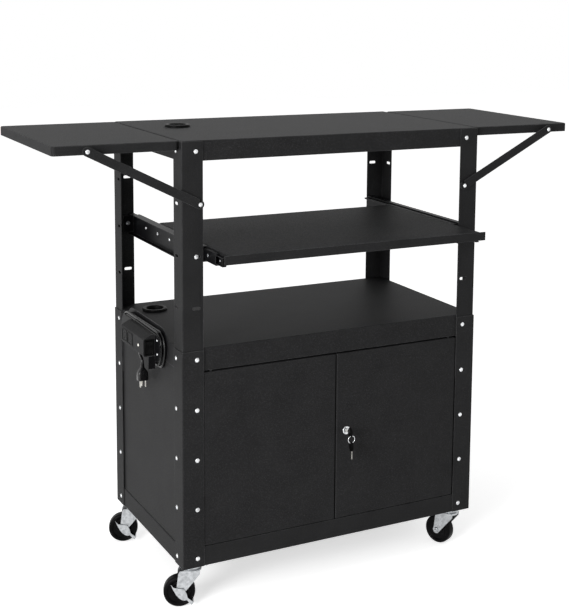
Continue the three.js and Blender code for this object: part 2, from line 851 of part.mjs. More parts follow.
// The strut's flat bar lies along A from its post end, with the open notch in its upper edge
function strutBar(length) {
  const half = strutWidth / 2;
  const quarter = Math.PI / 2;
  const shape = new THREE.Shape();
  shape.absarc(0, 0, half, quarter, 3 * quarter);
  shape.absarc(length, 0, half, 3 * quarter, 5 * quarter);
  const notchRadius = strutPinRadius + runningGap;
  const lean = strutNotchLeanShare * strutWidth;
  const notch = shapeOf([
    [-notchRadius, 0],
    [notchRadius, 0],
    [notchRadius + lean, strutWidth],
    [-notchRadius + lean, strutWidth],
  ]);
  const bar = prismY(shape, strutFront, strutBack, strutSides / 2);
  const throat = prismY(notch, strutFront - cutOverrun, strutBack + cutOverrun);
  const seat = rodY(notchRadius, 0, 0, strutFront - cutOverrun, strutBack + cutOverrun, strutSides);
  const bush = rodY(strutBushRadius, length, 0, strutBack, -(leafDepth / 2 + seatGap), strutSides);
  const rivet = rodY(strutBushRadius, length, 0, strutFront - strutRivetHead, strutFront, strutSides);
  return join(cut(bar, throat, seat), bush, rivet);
}

function mirroredAcrossX(geometry) {
  const turned = geometry.clone().scale(-1, 1, 1);
  const corners = turned.index.array;
  for (let i = 0; i < corners.length; i += 3) {
    [corners[i], corners[i + 1]] = [corners[i + 1], corners[i]];
  }
  return turned;
}

function addStrut(hand, sideX) {
  const run = strutPivotX - strutPinX;
  const rise = strutPivotZ - strutPinZ;
  const bar = geometryOf(strutBar(Math.hypot(run, rise)));
  const strut = add(`strut_${hand}`, sideX === right ? bar : mirroredAcrossX(bar), blackSteel);
  strut.position.set(sideX * strutPinX, 0, strutPinZ);
  strut.rotation.y = -sideX * Math.atan2(rise, run);
}

function addLeaves() {
  for (const [hand, sideX] of [['left', left], ['right', right]]) {
    add(`leaf_${hand}`, leaf(sideX), blackSteel);
    add(`leaf_hinge_fixed_${hand}`, fixedHinge(sideX), blackSlide);
    add(`leaf_hinge_moving_${hand}`, movingHinge(sideX), blackSlide);
    addStrut(hand, sideX);
  }
}

// Pull-out shelf, drawn out by the length pullOut
function railBracket(sideX) {
  const web = railInner + railSheet;
  const lip = railInner + railFlange;
  const high = railLow + railHeight;
  const outline = [
    [railInner, railLow],
    [lip, railLow],
    [lip, railLow + railSheet],
    [web, railLow + railSheet],
    [web, high - railSheet],
    [lip, high - railSheet],
    [lip, high],
    [railInner, high],
  ];
  const bar = prismY(shapeOf(outline.map(([x, z]) => [sideX * x, z])), -shelfHalfY, shelfHalfY);
  const tabWidth = [sideX * railInner, sideX * (railInner + railTabWidth)];
  const middle = railLow + railHeight / 2;
  const tabHeight = [middle - railTabHeight / 2, middle + railTabHeight / 2];
  const tabs = [front, rear].map((sideY) => {
    const depth = [sideY * (shelfHalfY - railSheet), sideY * shelfHalfY];
    return block(tabWidth, depth, tabHeight);
  });
  return join(bar, ...tabs);
}

function fixedSlide(sideX) {
  const half = slideHeight / 2;
  const inside = half - slideSheet;
  const hook = inside - slideHook;
  const outline = [
    [slideOuter, -half],
    [slideOuter, half],
    [slideInner, half],
    [slideInner, hook],
    [slideInner + slideSheet, hook],
    [slideInner + slideSheet, inside],
    [slideOuter - slideSheet, inside],
    [slideOuter - slideSheet, -inside],
    [slideInner + slideSheet, -inside],
    [slideInner + slideSheet, -hook],
    [slideInner, -hook],
    [slideInner, -half],
  ];
  const low = -shelfHalfY + slideFrontSetback;
  const shape = shapeOf(outline.map(([x, z]) => [sideX * x, slideCentre + z]));
  return prismY(shape, low, low + slideLength);
}

function runner(sideX) {
  const inner = pullShelfHalfX + seatGap;
  const half = runnerHeight / 2;
  const inside = half - runnerSheet;
  const outline = [
    [inner, -half],
    [inner, half],
    [inner + runnerFlange, half],
    [inner + runnerFlange, inside],
    [inner + runnerSheet, inside],
    [inner + runnerSheet, -inside],
    [inner + runnerFlange, -inside],
    [inner + runnerFlange, -half],
  ];
  const low = pullShelfFront + runnerFrontSetback;
  const shape = shapeOf(outline.map(([x, z]) => [sideX * x, slideCentre + z]));
  const bar = prismY(shape, low, low + runnerLength);
  const bearingEnd = low + runnerLength - bearingFromEnd;
  const bearingReach = slideHeight / 2 - slideSheet - seatGap;
  const bearings = [-1, 1].map((end) => block(
    [sideX * (inner + runnerFlange), sideX * (inner + runnerFlange - bearingThickness)],
    [bearingEnd - bearingLength, bearingEnd],
    [slideCentre + end * inside, slideCentre + end * bearingReach],
  ));
  const holeShape = slotShape(low + runnerHoleFromEnd, slideCentre, runnerHoleLength, runnerHoleWidth);
  const web = sideX * (inner + runnerSheet / 2);
  const hole = prismX(holeShape, web - runnerSheet, web + runnerSheet, slotArcSteps / 2);
  return join(cut(bar, hole), ...bearings);
}

function pullShelf() {
  const low = pullShelfTop - pullShelfLip;
  const middle = pullShelfFront + pullShelfDepth / 2;
  const size = [pullShelfHalfX, pullShelfDepth / 2, pullShelfTop, pullShelfLip];
  const pan = sheetPan([0, middle], ...size, pullShelfSheet, shelfCorner);
  const frontLip = block(
    [-pullShelfLipHalfX, pullShelfLipHalfX],
    [pullShelfFront, pullShelfFront + pullShelfSheet],
    [low, pullShelfTop],
  );
  return join(pan, frontLip);
}

function addPullShelf() {
  add('pull_shelf', pullShelf(), blackSteel);
  for (const [hand, sideX] of [['left', left], ['right', right]]) {
    add(`rail_bracket_${hand}`, railBracket(sideX), blackSteel);
    add(`slide_fixed_${hand}`, fixedSlide(sideX), blackSlide);
    add(`slide_runner_${hand}`, runner(sideX), blackSlide);
  }
}

// Castors, each in its own frame: the swivel axis is Z, the floor is zero and the wheel trails towards -X
const plateTop = castorHeight - seatGap;
const plateLow = plateTop - castorPlateThickness;
const cupLow = plateLow - castorCupHeight;
const crownTop = cupLow - seatGap;
const crownLow = crownTop - forkCrownHeight;
const legInner = wheelWidth / 2 + forkWheelGap;
const legOuter = legInner + forkSheet;
const leverInner = legOuter + leverGap;
const leverOuter = leverInner + leverSheet;

function castorPlate() {
  const plate = prismZ(roundedRectangle(castorPlateX / 2, castorPlateY / 2, wheelEdge), plateLow, plateTop);
  const cup = solidOf(turnedZ([
    [0, cupLow],
    [castorCupRadius - wheelEdge, cupLow],
    [castorCupRadius, cupLow + wheelEdge],
    [castorCupRadius, plateLow - wheelEdge / 2],
    [castorCupRadius - wheelEdge / 2, plateLow + castorPlateThickness / 2],
    [0, plateLow + castorPlateThickness / 2],
  ], castorSides));
  return join(plate, cup);
}

function forkLegShape() {
  const shape = new THREE.Shape();
  const startAngle = -Math.PI / 5;
  const endAngle = -Math.PI * 1.2;
  shape.moveTo(-forkBackReach + forkBackRise, crownTop - forkCrownHeight / 2);
  shape.lineTo(forkHalfTop, crownTop - forkCrownHeight / 2);
  shape.lineTo(forkHalfTop, crownLow - forkShoulder);
  shape.absarc(-castorOffset, wheelRadius, forkBossRadius, startAngle, endAngle, true);
  shape.lineTo(-forkBackReach, crownLow - forkBackRise);
  return shape;
}

function castorFork(braked) {
  const crown = solidOf(turnedZ([
    [0, crownLow],
    [forkCrownRadius, crownLow],
    [forkCrownRadius, crownTop - forkSheet],
    [forkCrownRadius - forkSheet, crownTop],
    [0, crownTop],
  ], castorSides));
  const leg = forkLegShape();
  const legs = [
    prismY(leg, legInner, legOuter, strutSides / 2),
    prismY(leg, -legOuter, -legInner, strutSides / 2),
  ];
  const axleHalf = legOuter + forkAxleEnd;
  const axle = rodY(axleRadius, -castorOffset, wheelRadius, -axleHalf, axleHalf, strutSides);
  return join(crown, ...legs, axle, ...(braked ? leverPins() : []));
}

function leverPins() {
  const x = -castorOffset + leverPivotX;
  const z = wheelRadius + leverPivotZ;
  const reach = leverOuter + leverGap;
  return [
    rodY(leverPinRadius, x, z, legInner, reach, strutSides / 2),
    rodY(leverPinRadius, x, z, -reach, -legInner, strutSides / 2),
  ];
}

// The wheel stands on a flat of its tread, so its corners lie a little outside the radius
function wheel() {
  const half = wheelWidth / 2;
  const halfSide = Math.PI / wheelSides;
  const tread = wheelRadius / Math.cos(halfSide);
  return turnedY([
    [wheelBore, -half],
    [wheelHubRadius, -half],
    [wheelHubRadius + wheelHubRecess, -half + wheelHubRecess],
    [tread - wheelRim, -half + wheelHubRecess],
    [tread - wheelEdge, -half],
    [tread, -half + wheelEdge],
    [tread, half - wheelEdge],
    [tread - wheelEdge, half],
    [tread - wheelRim, half - wheelHubRecess],
    [wheelHubRadius + wheelHubRecess, half - wheelHubRecess],
    [wheelHubRadius, half],
    [wheelBore, half],
  ], wheelSides, halfSide).translate(-castorOffset, 0, wheelRadius);
}

// A place outside the tread, given by its radius and angle about the axle
function aroundAxle(radius, angle) {
  return [-castorOffset + radius * Math.cos(angle), wheelRadius + radius * Math.sin(angle)];
}

// Stamped brake lever: a half-round arm outside each leg, with its heels joined by a shoe on the tread
function brakeLever() {
  const shoeInner = wheelRadius + leverShoeGap;
  const shoeOuter = shoeInner + leverShoeThickness;
  const shoeLow = THREE.MathUtils.degToRad(leverShoeDegrees);
  const shoeHigh = shoeLow + leverShoeWidth / shoeInner;
  const fromAxle = ([along, up]) => [-castorOffset + along * leverBand, wheelRadius + up * leverBand];
  const arm = new THREE.Shape();
  arm.moveTo(-castorOffset - leverPedalReach, wheelRadius + leverPedalRise);
  arm.quadraticCurveTo(...fromAxle(leverBellyShares), ...fromAxle(leverHeelShares));
  arm.lineTo(...aroundAxle(shoeOuter, shoeLow));
  arm.lineTo(...aroundAxle(shoeOuter, shoeHigh));
  for (const shares of leverBrowShares) arm.lineTo(...fromAxle(shares));
  const arms = [
    prismY(arm, leverInner, leverOuter, strutSides / 2),
    prismY(arm, -leverOuter, -leverInner, strutSides / 2),
  ];
  const shoe = shapeOf([
    aroundAxle(shoeInner, shoeLow),
    aroundAxle(shoeOuter, shoeLow),
    aroundAxle(shoeOuter, shoeHigh),
    aroundAxle(shoeInner, shoeHigh),
  ]);
  const pivotHole = rodY(
    leverPinRadius + seatGap,
    -castorOffset + leverPivotX,
    wheelRadius + leverPivotZ,
    -leverOuter - cutOverrun,
    leverOuter + cutOverrun,
    strutSides / 2,
  );
  return cut(join(...arms, prismY(shoe, -leverOuter, leverOuter)), pivotHole);
}

function addCastor(end, sideX, sideY) {
  const castor = new THREE.Group();
  castor.position.set(sideX * (halfWidth - castorInsetX), sideY * (halfDepth - castorInsetY), 0);
  cart.add(castor);
  add(`castor_plate_${end}`, castorPlate(), zinc, castor);
  const swivel = new THREE.Group();
  swivel.rotation.z = THREE.MathUtils.degToRad(castorTrailDegrees[end]);
  castor.add(swivel);
  const braked = sideX === left;
  add(`castor_fork_${end}`, castorFork(braked), zinc, swivel);
  add(`castor_wheel_${end}`, wheel(), blackRubber, swivel);
  if (braked) add(`castor_brake_${end}`, brakeLever(), zinc, swivel);
}

function addCastors() {
  addCastor('FL', left, front);
  addCastor('FR', right, front);
  addCastor('RL', left, rear);
  addCastor('RR', right, rear);
}

// Winder on the left side: a back plate, a hub and two ears that keep the turns on
function racetrack(radius) {
  const shape = new THREE.Shape();
  const quarter = Math.PI / 2;
  shape.absarc(windingY + cordRun / 2, windingZ, radius, -quarter, quarter);
  shape.absarc(windingY - cordRun / 2, windingZ, radius, quarter, 3 * quarter);
  return shape;
}

function winderEar(sideY) {
  const radius = cordOuterRadius + cordDiameter / 2;
  const end = windingY + sideY * (cordRun / 2);
  const back = end - sideY * winderEarLength;
  const top = windingZ + winderEarTop;
  const shape = new THREE.Shape();
  shape.moveTo(back, top);
  shape.lineTo(end + sideY * winderEarTop, top);
  shape.lineTo(end + sideY * radius, windingZ);
  const start = sideY === rear ? 0 : -Math.PI;
  shape.absarc(end, windingZ, radius, start, -Math.PI / 2, sideY === rear);
  shape.lineTo(back, windingZ - radius);
  return prismX(shape, winderEarBack - winderEarSheet, winderEarBack, strutSides / 2);
}

// Flange of the near ear, bent outwards under the housing's end
function winderFoot() {
  const root = winderEarBack - winderEarSheet / 2;
  return block(
    [root - winderFootReach, root],
    [housingFront, housingFront + winderFootWidth],
    [housingLow - winderFootDrop, housingLow - seatGap],
  );
}

function strainRelief() {
  const z = windingZ - cordOuterRadius;
  const start = windingStart + cordDiameter + seatGap;
  return block(
    [cordLayerOne - reliefHalf, winderFace + winderSheet / 2],
    [start, start + reliefLength],
    [z - reliefHalf, z + reliefHalf],
  );
}

function winder() {
  const plateRadius = cordOuterRadius + cordDiameter / 2 + winderRim;
  const hubRadius = cordOuterRadius - (cordTurns / 2) * cordPitch - cordDiameter / 2 - winderHubGap;
  const plate = prismX(racetrack(plateRadius), winderFace, winderBack, strutSides / 2);
  const hubOuter = winderEarBack - winderEarSheet / 2;
  const hubInner = winderFace + winderSheet / 2;
  const hub = prismX(racetrack(hubRadius), hubOuter, hubInner, strutSides / 2);
  return join(plate, hub, winderEar(front), winderEar(rear), winderFoot(), strainRelief());
}

// Power strip housing with its outlets and a rocker switch
function outletCuts(y) {
  const depth = [housingFace - cutOverrun, housingFace + outletDepth];
  const width = [y - outletBladeLength / 2, y + outletBladeLength / 2];
  const blades = [-1, 1].map((end) => {
    const z = housingMiddle + end * outletBladeSpacing / 2;
    return block(depth, width, [z - outletBladeWidth / 2, z + outletBladeWidth / 2]);
  });
  const groundY = y - outletGroundOffset;
  const ground = rodX(outletGroundRadius, groundY, housingMiddle, ...depth, strutSides / 2);
  return [...blades, ground];
}

function rockerPocket() {
  const halfX = rockerWidth / 2 + rockerClearance / 2;
  const halfZ = rockerLength / 2 + rockerClearance;
  const depth = [housingFront - cutOverrun, housingFront + rockerDepth + rockerClearance];
  const height = [housingMiddle - halfZ, housingMiddle + halfZ];
  return block([housingCentreX - halfX, housingCentreX + halfX], depth, height);
}

function stripHousing() {
  const outline = [
    [housingBack, housingLow],
    [housingFace + housingChamfer, housingLow],
    [housingFace, housingLow + housingChamfer],
    [housingFace, housingLow + housingFaceHeight - housingChamfer],
    [housingFace + housingChamfer, housingLow + housingFaceHeight],
    [housingBack - housingRidgeWidth, housingLow + housingRidgeHeight],
    [housingBack, housingLow + housingRidgeHeight],
  ];
  const body = prismY(shapeOf(outline), housingFront, housingRear);
  const outlets = [];
  for (let index = 0; index < outletCount; index += 1) {
    outlets.push(...outletCuts(outletFirst - index * outletPitch));
  }
  return cut(body, ...outlets, rockerPocket());
}

// Rocker in the near end, with a shallow V face, tipped so that its upper half stands proud
function rocker() {
  const half = rockerLength / 2 - rockerClearance / 2;
  const inner = rockerDepth / 2;
  const pivotY = housingFront + inner;
  const outline = [
    [pivotY, -half],
    [pivotY + inner, -inner],
    [pivotY + inner, inner],
    [pivotY, half],
    [pivotY - inner - rockerProud, half],
    [pivotY - inner, 0],
    [pivotY - inner, -half],
  ];
  const points = outline.map(([y, z]) => [y, housingMiddle + z]);
  const halfX = rockerWidth / 2;
  return prismX(shapeOf(points), housingCentreX - halfX, housingCentreX + halfX);
}

// Cord winding: two layers of turns that spiral in, step across and spiral out again, and hang
// slack under the near end
function loopStations() {
  const near = windingY - cordRun / 2;
  const far = windingY + cordRun / 2;
  const stations = [];
  const legs = [
    { from: windingStart, to: near, angle: 0, sweep: 0, steps: cordLongRunSteps - 1 },
    { from: near, to: near, angle: 0, sweep: Math.PI, steps: cordTurnSteps },
    { from: near, to: far, angle: Math.PI, sweep: 0, steps: cordLongRunSteps },
    { from: far, to: far, angle: Math.PI, sweep: Math.PI, steps: cordTurnSteps },
    { from: far, to: windingStart, angle: 2 * Math.PI, sweep: 0, steps: 1 },
  ];
  let travelled = 0;
  for (const leg of legs) {
    const length = Math.abs(leg.to - leg.from) + leg.sweep * cordOuterRadius;
    for (let step = 0; step < leg.steps; step += 1) {
      const share = step / leg.steps;
      stations.push({
        along: leg.from + (leg.to - leg.from) * share,
        angle: leg.angle + leg.sweep * share,
        travelled: travelled + length * share,
      });
    }
    travelled += length;
  }
  return stations.map((station) => ({ ...station, share: station.travelled / travelled }));
}

function windingPoint(station, turns) {
  const radius = cordOuterRadius - cordPitch * Math.min(turns, cordTurns - turns);
  const climbStart = (cordTurns - cordClimbTurns) / 2;
  const climbShare = THREE.MathUtils.clamp((turns - climbStart) / cordClimbTurns, 0, 1);
  const x = cordLayerOne + (cordLayerTwo - cordLayerOne) * climbShare;
  const nearEnd = windingY - cordRun / 2;
  const nearShare = THREE.MathUtils.clamp((windingStart - station.along) / (windingStart - nearEnd), 0, 1);
  const slackShare = Math.cos(station.angle) > 0 ? nearShare : 0;
  const hang = 1 + (cordSag / cordOuterRadius) * slackShare;
  const y = station.along - radius * Math.sin(station.angle);
  const z = windingZ - radius * hang * Math.cos(station.angle);
  return new THREE.Vector3(x, y, z);
}

function windingPoints() {
  const stations = loopStations();
  const points = [];
  for (let turn = 0; turn < cordTurns; turn += 1) {
    for (const station of stations) points.push(windingPoint(station, turn + station.share));
  }
  points.push(windingPoint(stations[0], cordTurns));
  const first = points[0].clone();
  const last = points[points.length - 1].clone();
  first.y += cordDiameter;
  last.y -= cordDiameter;
  return [first, ...points, last];
}

// A closed tube of flat-sided rings through a list of points that keep close to a plane across X
function sweptTube(points, radius, sides) {
  const across = new THREE.Vector3(1, 0, 0);
  const positions = [];
  const ringAt = (index) => {
    const before = points[Math.max(index - 1, 0)];
    const after = points[Math.min(index + 1, points.length - 1)];
    const forward = after.clone().sub(before).normalize();
    const sideways = across.clone().addScaledVector(forward, -across.dot(forward)).normalize();
    const upward = new THREE.Vector3().crossVectors(forward, sideways);
    for (let side = 0; side < sides; side += 1) {
      const angle = (side / sides) * 2 * Math.PI;
      const corner = points[index].clone();
      corner.addScaledVector(sideways, radius * Math.cos(angle));
      corner.addScaledVector(upward, radius * Math.sin(angle));
      positions.push(corner.x, corner.y, corner.z);
    }
  };
  points.forEach((point, index) => ringAt(index));
  const faces = [];
  for (let ring = 0; ring < points.length - 1; ring += 1) {
    for (let side = 0; side < sides; side += 1) {
      const next = (side + 1) % sides;
      const a = ring * sides + side;
      const b = ring * sides + next;
      faces.push(a, b, a + sides, b, b + sides, a + sides);
    }
  }
  const lastRing = (points.length - 1) * sides;
  for (let side = 1; side < sides - 1; side += 1) {
    faces.push(0, side + 1, side);
    faces.push(lastRing, lastRing + side, lastRing + side + 1);
  }
  const geometry = new THREE.BufferGeometry();
  geometry.setAttribute('position', new THREE.Float32BufferAttribute(positions, 3));
  geometry.setIndex(faces);
  return geometry;
}

function leastWindingGap(points) {
  const apart = cordTurnSteps;
  let least = Infinity;
  for (let i = 0; i < points.length; i += 1) {
    for (let j = i + apart; j < points.length - 1; j += 1) {
      const nearest = new THREE.Vector3();
      new THREE.Line3(points[j], points[j + 1]).closestPointToPoint(points[i], true, nearest);
      least = Math.min(least, nearest.distanceTo(points[i]) - cordDiameter);
    }
  }
  return least;
}

function cordLead() {
  const path = new THREE.CatmullRomCurve3(leadPoints.map((point) => new THREE.Vector3(...point)));
  const section = new THREE.Shape();
  for (let side = 0; side < leadSides; side += 1) {
    const angle = (side / leadSides) * 2 * Math.PI;
    const place = [Math.cos(angle) * cordDiameter / 2, Math.sin(angle) * cordDiameter / 2];
    if (side === 0) section.moveTo(...place);
    else section.lineTo(...place);
  }
  return new THREE.ExtrudeGeometry(section, { steps: leadSteps, bevelEnabled: false, extrudePath: path });
}

function mainsPlug() {
  const low = plugTop - plugLength;
  const shoulder = plugTop - plugLength * plugShoulderShare;
  const outline = [
    [plugX - plugNeckHalf, plugTop],
    [plugX + plugNeckHalf, plugTop],
    [plugX + plugHalfX, shoulder],
    [plugX + plugHalfX, low],
    [plugX - plugHalfX, low],
    [plugX - plugHalfX, shoulder],
  ];
  const body = prismY(shapeOf(outline), plugY - plugHalfY, plugY + plugHalfY);
  const tip = low - plugBladeLength;
  const blades = [-1, 1].map((end) => {
    const x = plugX + end * plugBladeSpacing / 2;
    const y = plugY - plugGroundOffset / 2;
    return block(
      [x - plugBladeThick / 2, x + plugBladeThick / 2],
      [y - plugBladeWide / 2, y + plugBladeWide / 2],
      [tip, low + plugBladeThick],
    );
  });
  const groundY = plugY + plugGroundOffset;
  const ground = rodZ(plugGroundRadius, plugX, groundY, tip, low + plugBladeThick, strutSides / 2);
  return join(body, ...blades, ground);
}

function addPowerStrip() {
  const points = windingPoints();
  let length = 0;
  for (let i = 1; i < points.length; i += 1) length += points[i].distanceTo(points[i - 1]);
  const gap = leastWindingGap(points);
  console.log(`winding: ${length.toFixed(0)} mm of cord, least gap ${gap.toFixed(2)} mm`);
  add('strip_winder', winder(), blackSteel);
  add('strip_housing', stripHousing(), blackSteel);
  add('strip_rocker', rocker(), blackPlastic);
  add('cord_winding', sweptTube(points, cordDiameter / 2, cordSides), blackRubber);
  add('cord_lead', cordLead(), blackRubber);
  add('mains_plug', mainsPlug(), blackRubber);
}

addPosts();
addShelves();
addWalls();
addDoors();
addLock();
addLeaves();
addPullShelf();
addCastors();
addPowerStrip();

export default cart;
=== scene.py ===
"""Looks of the audio visual cart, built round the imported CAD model. Lengths are in metres."""

import json
import math
import random

import bmesh
import bpy
from mathutils import Matrix, Vector


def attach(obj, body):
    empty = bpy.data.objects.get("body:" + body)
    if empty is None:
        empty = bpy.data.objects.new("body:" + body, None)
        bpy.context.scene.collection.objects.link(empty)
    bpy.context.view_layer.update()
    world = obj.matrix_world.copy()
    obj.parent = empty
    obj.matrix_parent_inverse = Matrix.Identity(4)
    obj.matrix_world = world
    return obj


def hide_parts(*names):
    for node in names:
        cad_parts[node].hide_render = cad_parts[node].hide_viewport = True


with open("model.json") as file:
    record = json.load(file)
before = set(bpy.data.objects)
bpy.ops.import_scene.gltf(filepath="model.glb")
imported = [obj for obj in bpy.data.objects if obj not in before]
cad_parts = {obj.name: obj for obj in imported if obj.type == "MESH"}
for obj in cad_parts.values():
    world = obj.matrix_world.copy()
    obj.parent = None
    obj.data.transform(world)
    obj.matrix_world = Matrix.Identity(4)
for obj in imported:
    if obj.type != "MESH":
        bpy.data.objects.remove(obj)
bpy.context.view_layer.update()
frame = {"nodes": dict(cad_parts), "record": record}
MM = 0.001
SIDES = (("left", -1), ("right", 1))
random.seed(7)


def add_object(name, data):
    item = bpy.data.objects.new(name, data)
    bpy.context.scene.collection.objects.link(item)
    return item


def axes_at(origin, x, y, z):
    """A matrix that puts the local origin at a place and the local axes along directions."""
    turn = Matrix((Vector(x), Vector(y), Vector(z))).transposed()
    return Matrix.Translation(Vector(origin)) @ turn.to_4x4()


def facing(place, direction, spin=0.0):
    """A matrix that puts the local origin at a place, with local Z along a direction."""
    turn = Vector(direction).to_track_quat("Z", "Y").to_matrix().to_4x4()
    return Matrix.Translation(Vector(place)) @ turn @ Matrix.Rotation(spin, 4, "Z")


# Camera, fitted to the photograph

IMAGE_WIDTH = 569
IMAGE_HEIGHT = 610
FOCAL_PIXELS = 1275.76
CENTRE_U = 359.6
CENTRE_V = 173.0
CAMERA_PLACE = (-1.3617, -2.7734, 1.3857)
CAMERA_YAW = 0.5079
CAMERA_PITCH = 0.1403
CAMERA_ROLL = 0.0139
SENSOR_WIDTH = 36
CLIP_START = 0.01
CLIP_END = 100


def make_camera():
    data = bpy.data.cameras.new("camera")
    camera = add_object("camera", data)
    level = math.cos(CAMERA_PITCH)
    forward = Vector((
        math.sin(CAMERA_YAW) * level,
        math.cos(CAMERA_YAW) * level,
        -math.sin(CAMERA_PITCH),
    ))
    right = Vector((math.cos(CAMERA_YAW), -math.sin(CAMERA_YAW), 0))
    up = right.cross(forward)
    c, s = math.cos(CAMERA_ROLL), math.sin(CAMERA_ROLL)
    camera.matrix_world = axes_at(CAMERA_PLACE, c * right + s * up, c * up - s * right, -forward)
    long_side = max(IMAGE_WIDTH, IMAGE_HEIGHT)
    data.sensor_fit = "AUTO"
    data.sensor_width = SENSOR_WIDTH
    data.lens = FOCAL_PIXELS * SENSOR_WIDTH / long_side
    data.shift_x = (IMAGE_WIDTH / 2 - CENTRE_U) / long_side
    data.shift_y = (CENTRE_V - IMAGE_HEIGHT / 2) / long_side
    data.clip_start, data.clip_end = CLIP_START, CLIP_END
    bpy.context.scene.camera = camera


make_camera()


# Materials' and node helpers. Most add one node to a tree and give back its output.

def new_material(name):
    material = bpy.data.materials.new(name)
    material.use_nodes = True
    tree = material.node_tree
    shader = next(n for n in tree.nodes if n.type == "BSDF_PRINCIPLED")
    return material, tree, shader


def object_coords(tree):
    return tree.nodes.new("ShaderNodeTexCoord").outputs["Object"]


def noise(tree, coords, scale, detail=2.0, rough=0.5):
    node = tree.nodes.new("ShaderNodeTexNoise")
    node.inputs["Scale"].default_value = scale
    node.inputs["Detail"].default_value = detail
    node.inputs["Roughness"].default_value = rough
    tree.links.new(coords, node.inputs["Vector"])
    return node.outputs["Fac"]


def spread(tree, value, low, high, from_low=0.3, from_high=0.7):
    """A value stretched from one range to another and kept inside it."""
    node = tree.nodes.new("ShaderNodeMapRange")
    node.inputs["From Min"].default_value = from_low
    node.inputs["From Max"].default_value = from_high
    node.inputs["To Min"].default_value = low
    node.inputs["To Max"].default_value = high
    tree.links.new(value, node.inputs["Value"])
    return node.outputs["Result"]


def mixed(tree, factor, first, second):
    """A colour between two. The first one may be the output of a node."""
    node = tree.nodes.new("ShaderNodeMix")
    node.data_type = "RGBA"
    if isinstance(first, tuple):
        node.inputs["A"].default_value = (*first, 1)
    else:
        tree.links.new(first, node.inputs["A"])
    node.inputs["B"].default_value = (*second, 1)
    tree.links.new(factor, node.inputs["Factor"])
    return node.outputs["Result"]


def bump(tree, height, shader, distance, strength, below=None):
    """Relief on the shader, over that of another bump if one is given."""
    node = tree.nodes.new("ShaderNodeBump")
    node.inputs["Strength"].default_value = strength
    node.inputs["Distance"].default_value = distance
    tree.links.new(height, node.inputs["Height"])
    if below is not None:
        tree.links.new(below, node.inputs["Normal"])
    tree.links.new(node.outputs["Normal"], shader.inputs["Normal"])
    return node.outputs["Normal"]


def joined(tree, operation, first, second):
    """Two values put together by one Math operation and kept between 0 and 1."""
    node = tree.nodes.new("ShaderNodeMath")
    node.operation = operation
    node.use_clamp = True
    tree.links.new(first, node.inputs[0])
    tree.links.new(second, node.inputs[1])
    return node.outputs[0]


def edge_mask(tree, radius):
    """1 on outer edges, 0 on flat faces: where a rounded normal leaves the face's own. It places
    rubbed coat, partly a painted highlight on the edges.
    """
    rounded = tree.nodes.new("ShaderNodeBevel")
    rounded.samples = 4
    rounded.inputs["Radius"].default_value = radius
    own = tree.nodes.new("ShaderNodeNewGeometry")
    agree = tree.nodes.new("ShaderNodeVectorMath")
    agree.operation = "DOT_PRODUCT"
    tree.links.new(rounded.outputs["Normal"], agree.inputs[0])
    tree.links.new(own.outputs["Normal"], agree.inputs[1])
    return spread(tree, agree.outputs["Value"], 1, 0, from_low=0.8, from_high=0.98)


# Materials. A rough pair is the least and most roughness.

# Size and colour of the lighter outer edges of the coat: rubbed coat, and partly a painted
# highlight where edges catch light.
EDGE_HIGHLIGHT_AND_WEAR_RADIUS = 1.3 * MM
EDGE_HIGHLIGHT_AND_WEAR_COLOUR = (0.13, 0.13, 0.133)
COAT_SHINE = 0.07
COARSE_RELIEF = 0.06 * MM
METAL_RELIEF = 0.04 * MM
MOULD_RELIEF = 0.04 * MM
FINE_RELIEF = 0.03 * MM
STAIN_SHADE = 0.6


def powder_coat(name, dark, light, rough):
    """Black powder coat: orange-peel skin, fine pale grains, slight cloudiness, and outer edges
    lightened as rubbed coat and partly as a painted highlight.
    """
    material, tree, shader = new_material(name)
    coords = object_coords(tree)
    cloud = noise(tree, coords, scale=14, detail=5, rough=0.6)
    grain = noise(tree, coords, scale=700, detail=1)
    skin = noise(tree, coords, scale=420, detail=2)
    cloudy = spread(tree, cloud, 0.0, 0.16)
    specks = spread(tree, grain, 0.0, 0.8, from_low=0.55, from_high=0.75)
    patchy = spread(tree, cloud, 0.2, 1.0)
    # Lighter outer edges in patches: rubbed coat, and partly a painted highlight.
    highlit_and_worn = joined(tree, "MULTIPLY", edge_mask(tree, EDGE_HIGHLIGHT_AND_WEAR_RADIUS), patchy)
    coat = mixed(tree, joined(tree, "ADD", cloudy, specks), dark, light)
    tree.links.new(mixed(tree, highlit_and_worn, coat, EDGE_HIGHLIGHT_AND_WEAR_COLOUR), shader.inputs["Base Color"])
    tree.links.new(spread(tree, skin, *rough), shader.inputs["Roughness"])
    shader.inputs["Specular IOR Level"].default_value = COAT_SHINE
    coarse = bump(tree, skin, shader, COARSE_RELIEF, strength=0.5)
    bump(tree, grain, shader, FINE_RELIEF, strength=0.5, below=coarse)
    return material


def bright_metal(name, colour, rough, streak):
    """Plated metal with faint drawing streaks, small stains and a soft sparkle."""
    material, tree, shader = new_material(name)
    coords = object_coords(tree)
    stretch = tree.nodes.new("ShaderNodeMapping")
    stretch.inputs["Scale"].default_value = streak
    tree.links.new(coords, stretch.inputs["Vector"])
    lines = noise(tree, stretch.outputs["Vector"], scale=1, detail=2)
    stain = noise(tree, coords, scale=110, detail=4, rough=0.65)
    stained = spread(tree, stain, 0, 1, from_low=0.4, from_high=0.7)
    dull = tuple(STAIN_SHADE * c for c in colour)
    tree.links.new(mixed(tree, stained, colour, dull), shader.inputs["Base Color"])
    tree.links.new(spread(tree, stain, *rough), shader.inputs["Roughness"])
    shader.inputs["Metallic"].default_value = 1
    bump(tree, lines, shader, METAL_RELIEF, strength=0.4)
    return material


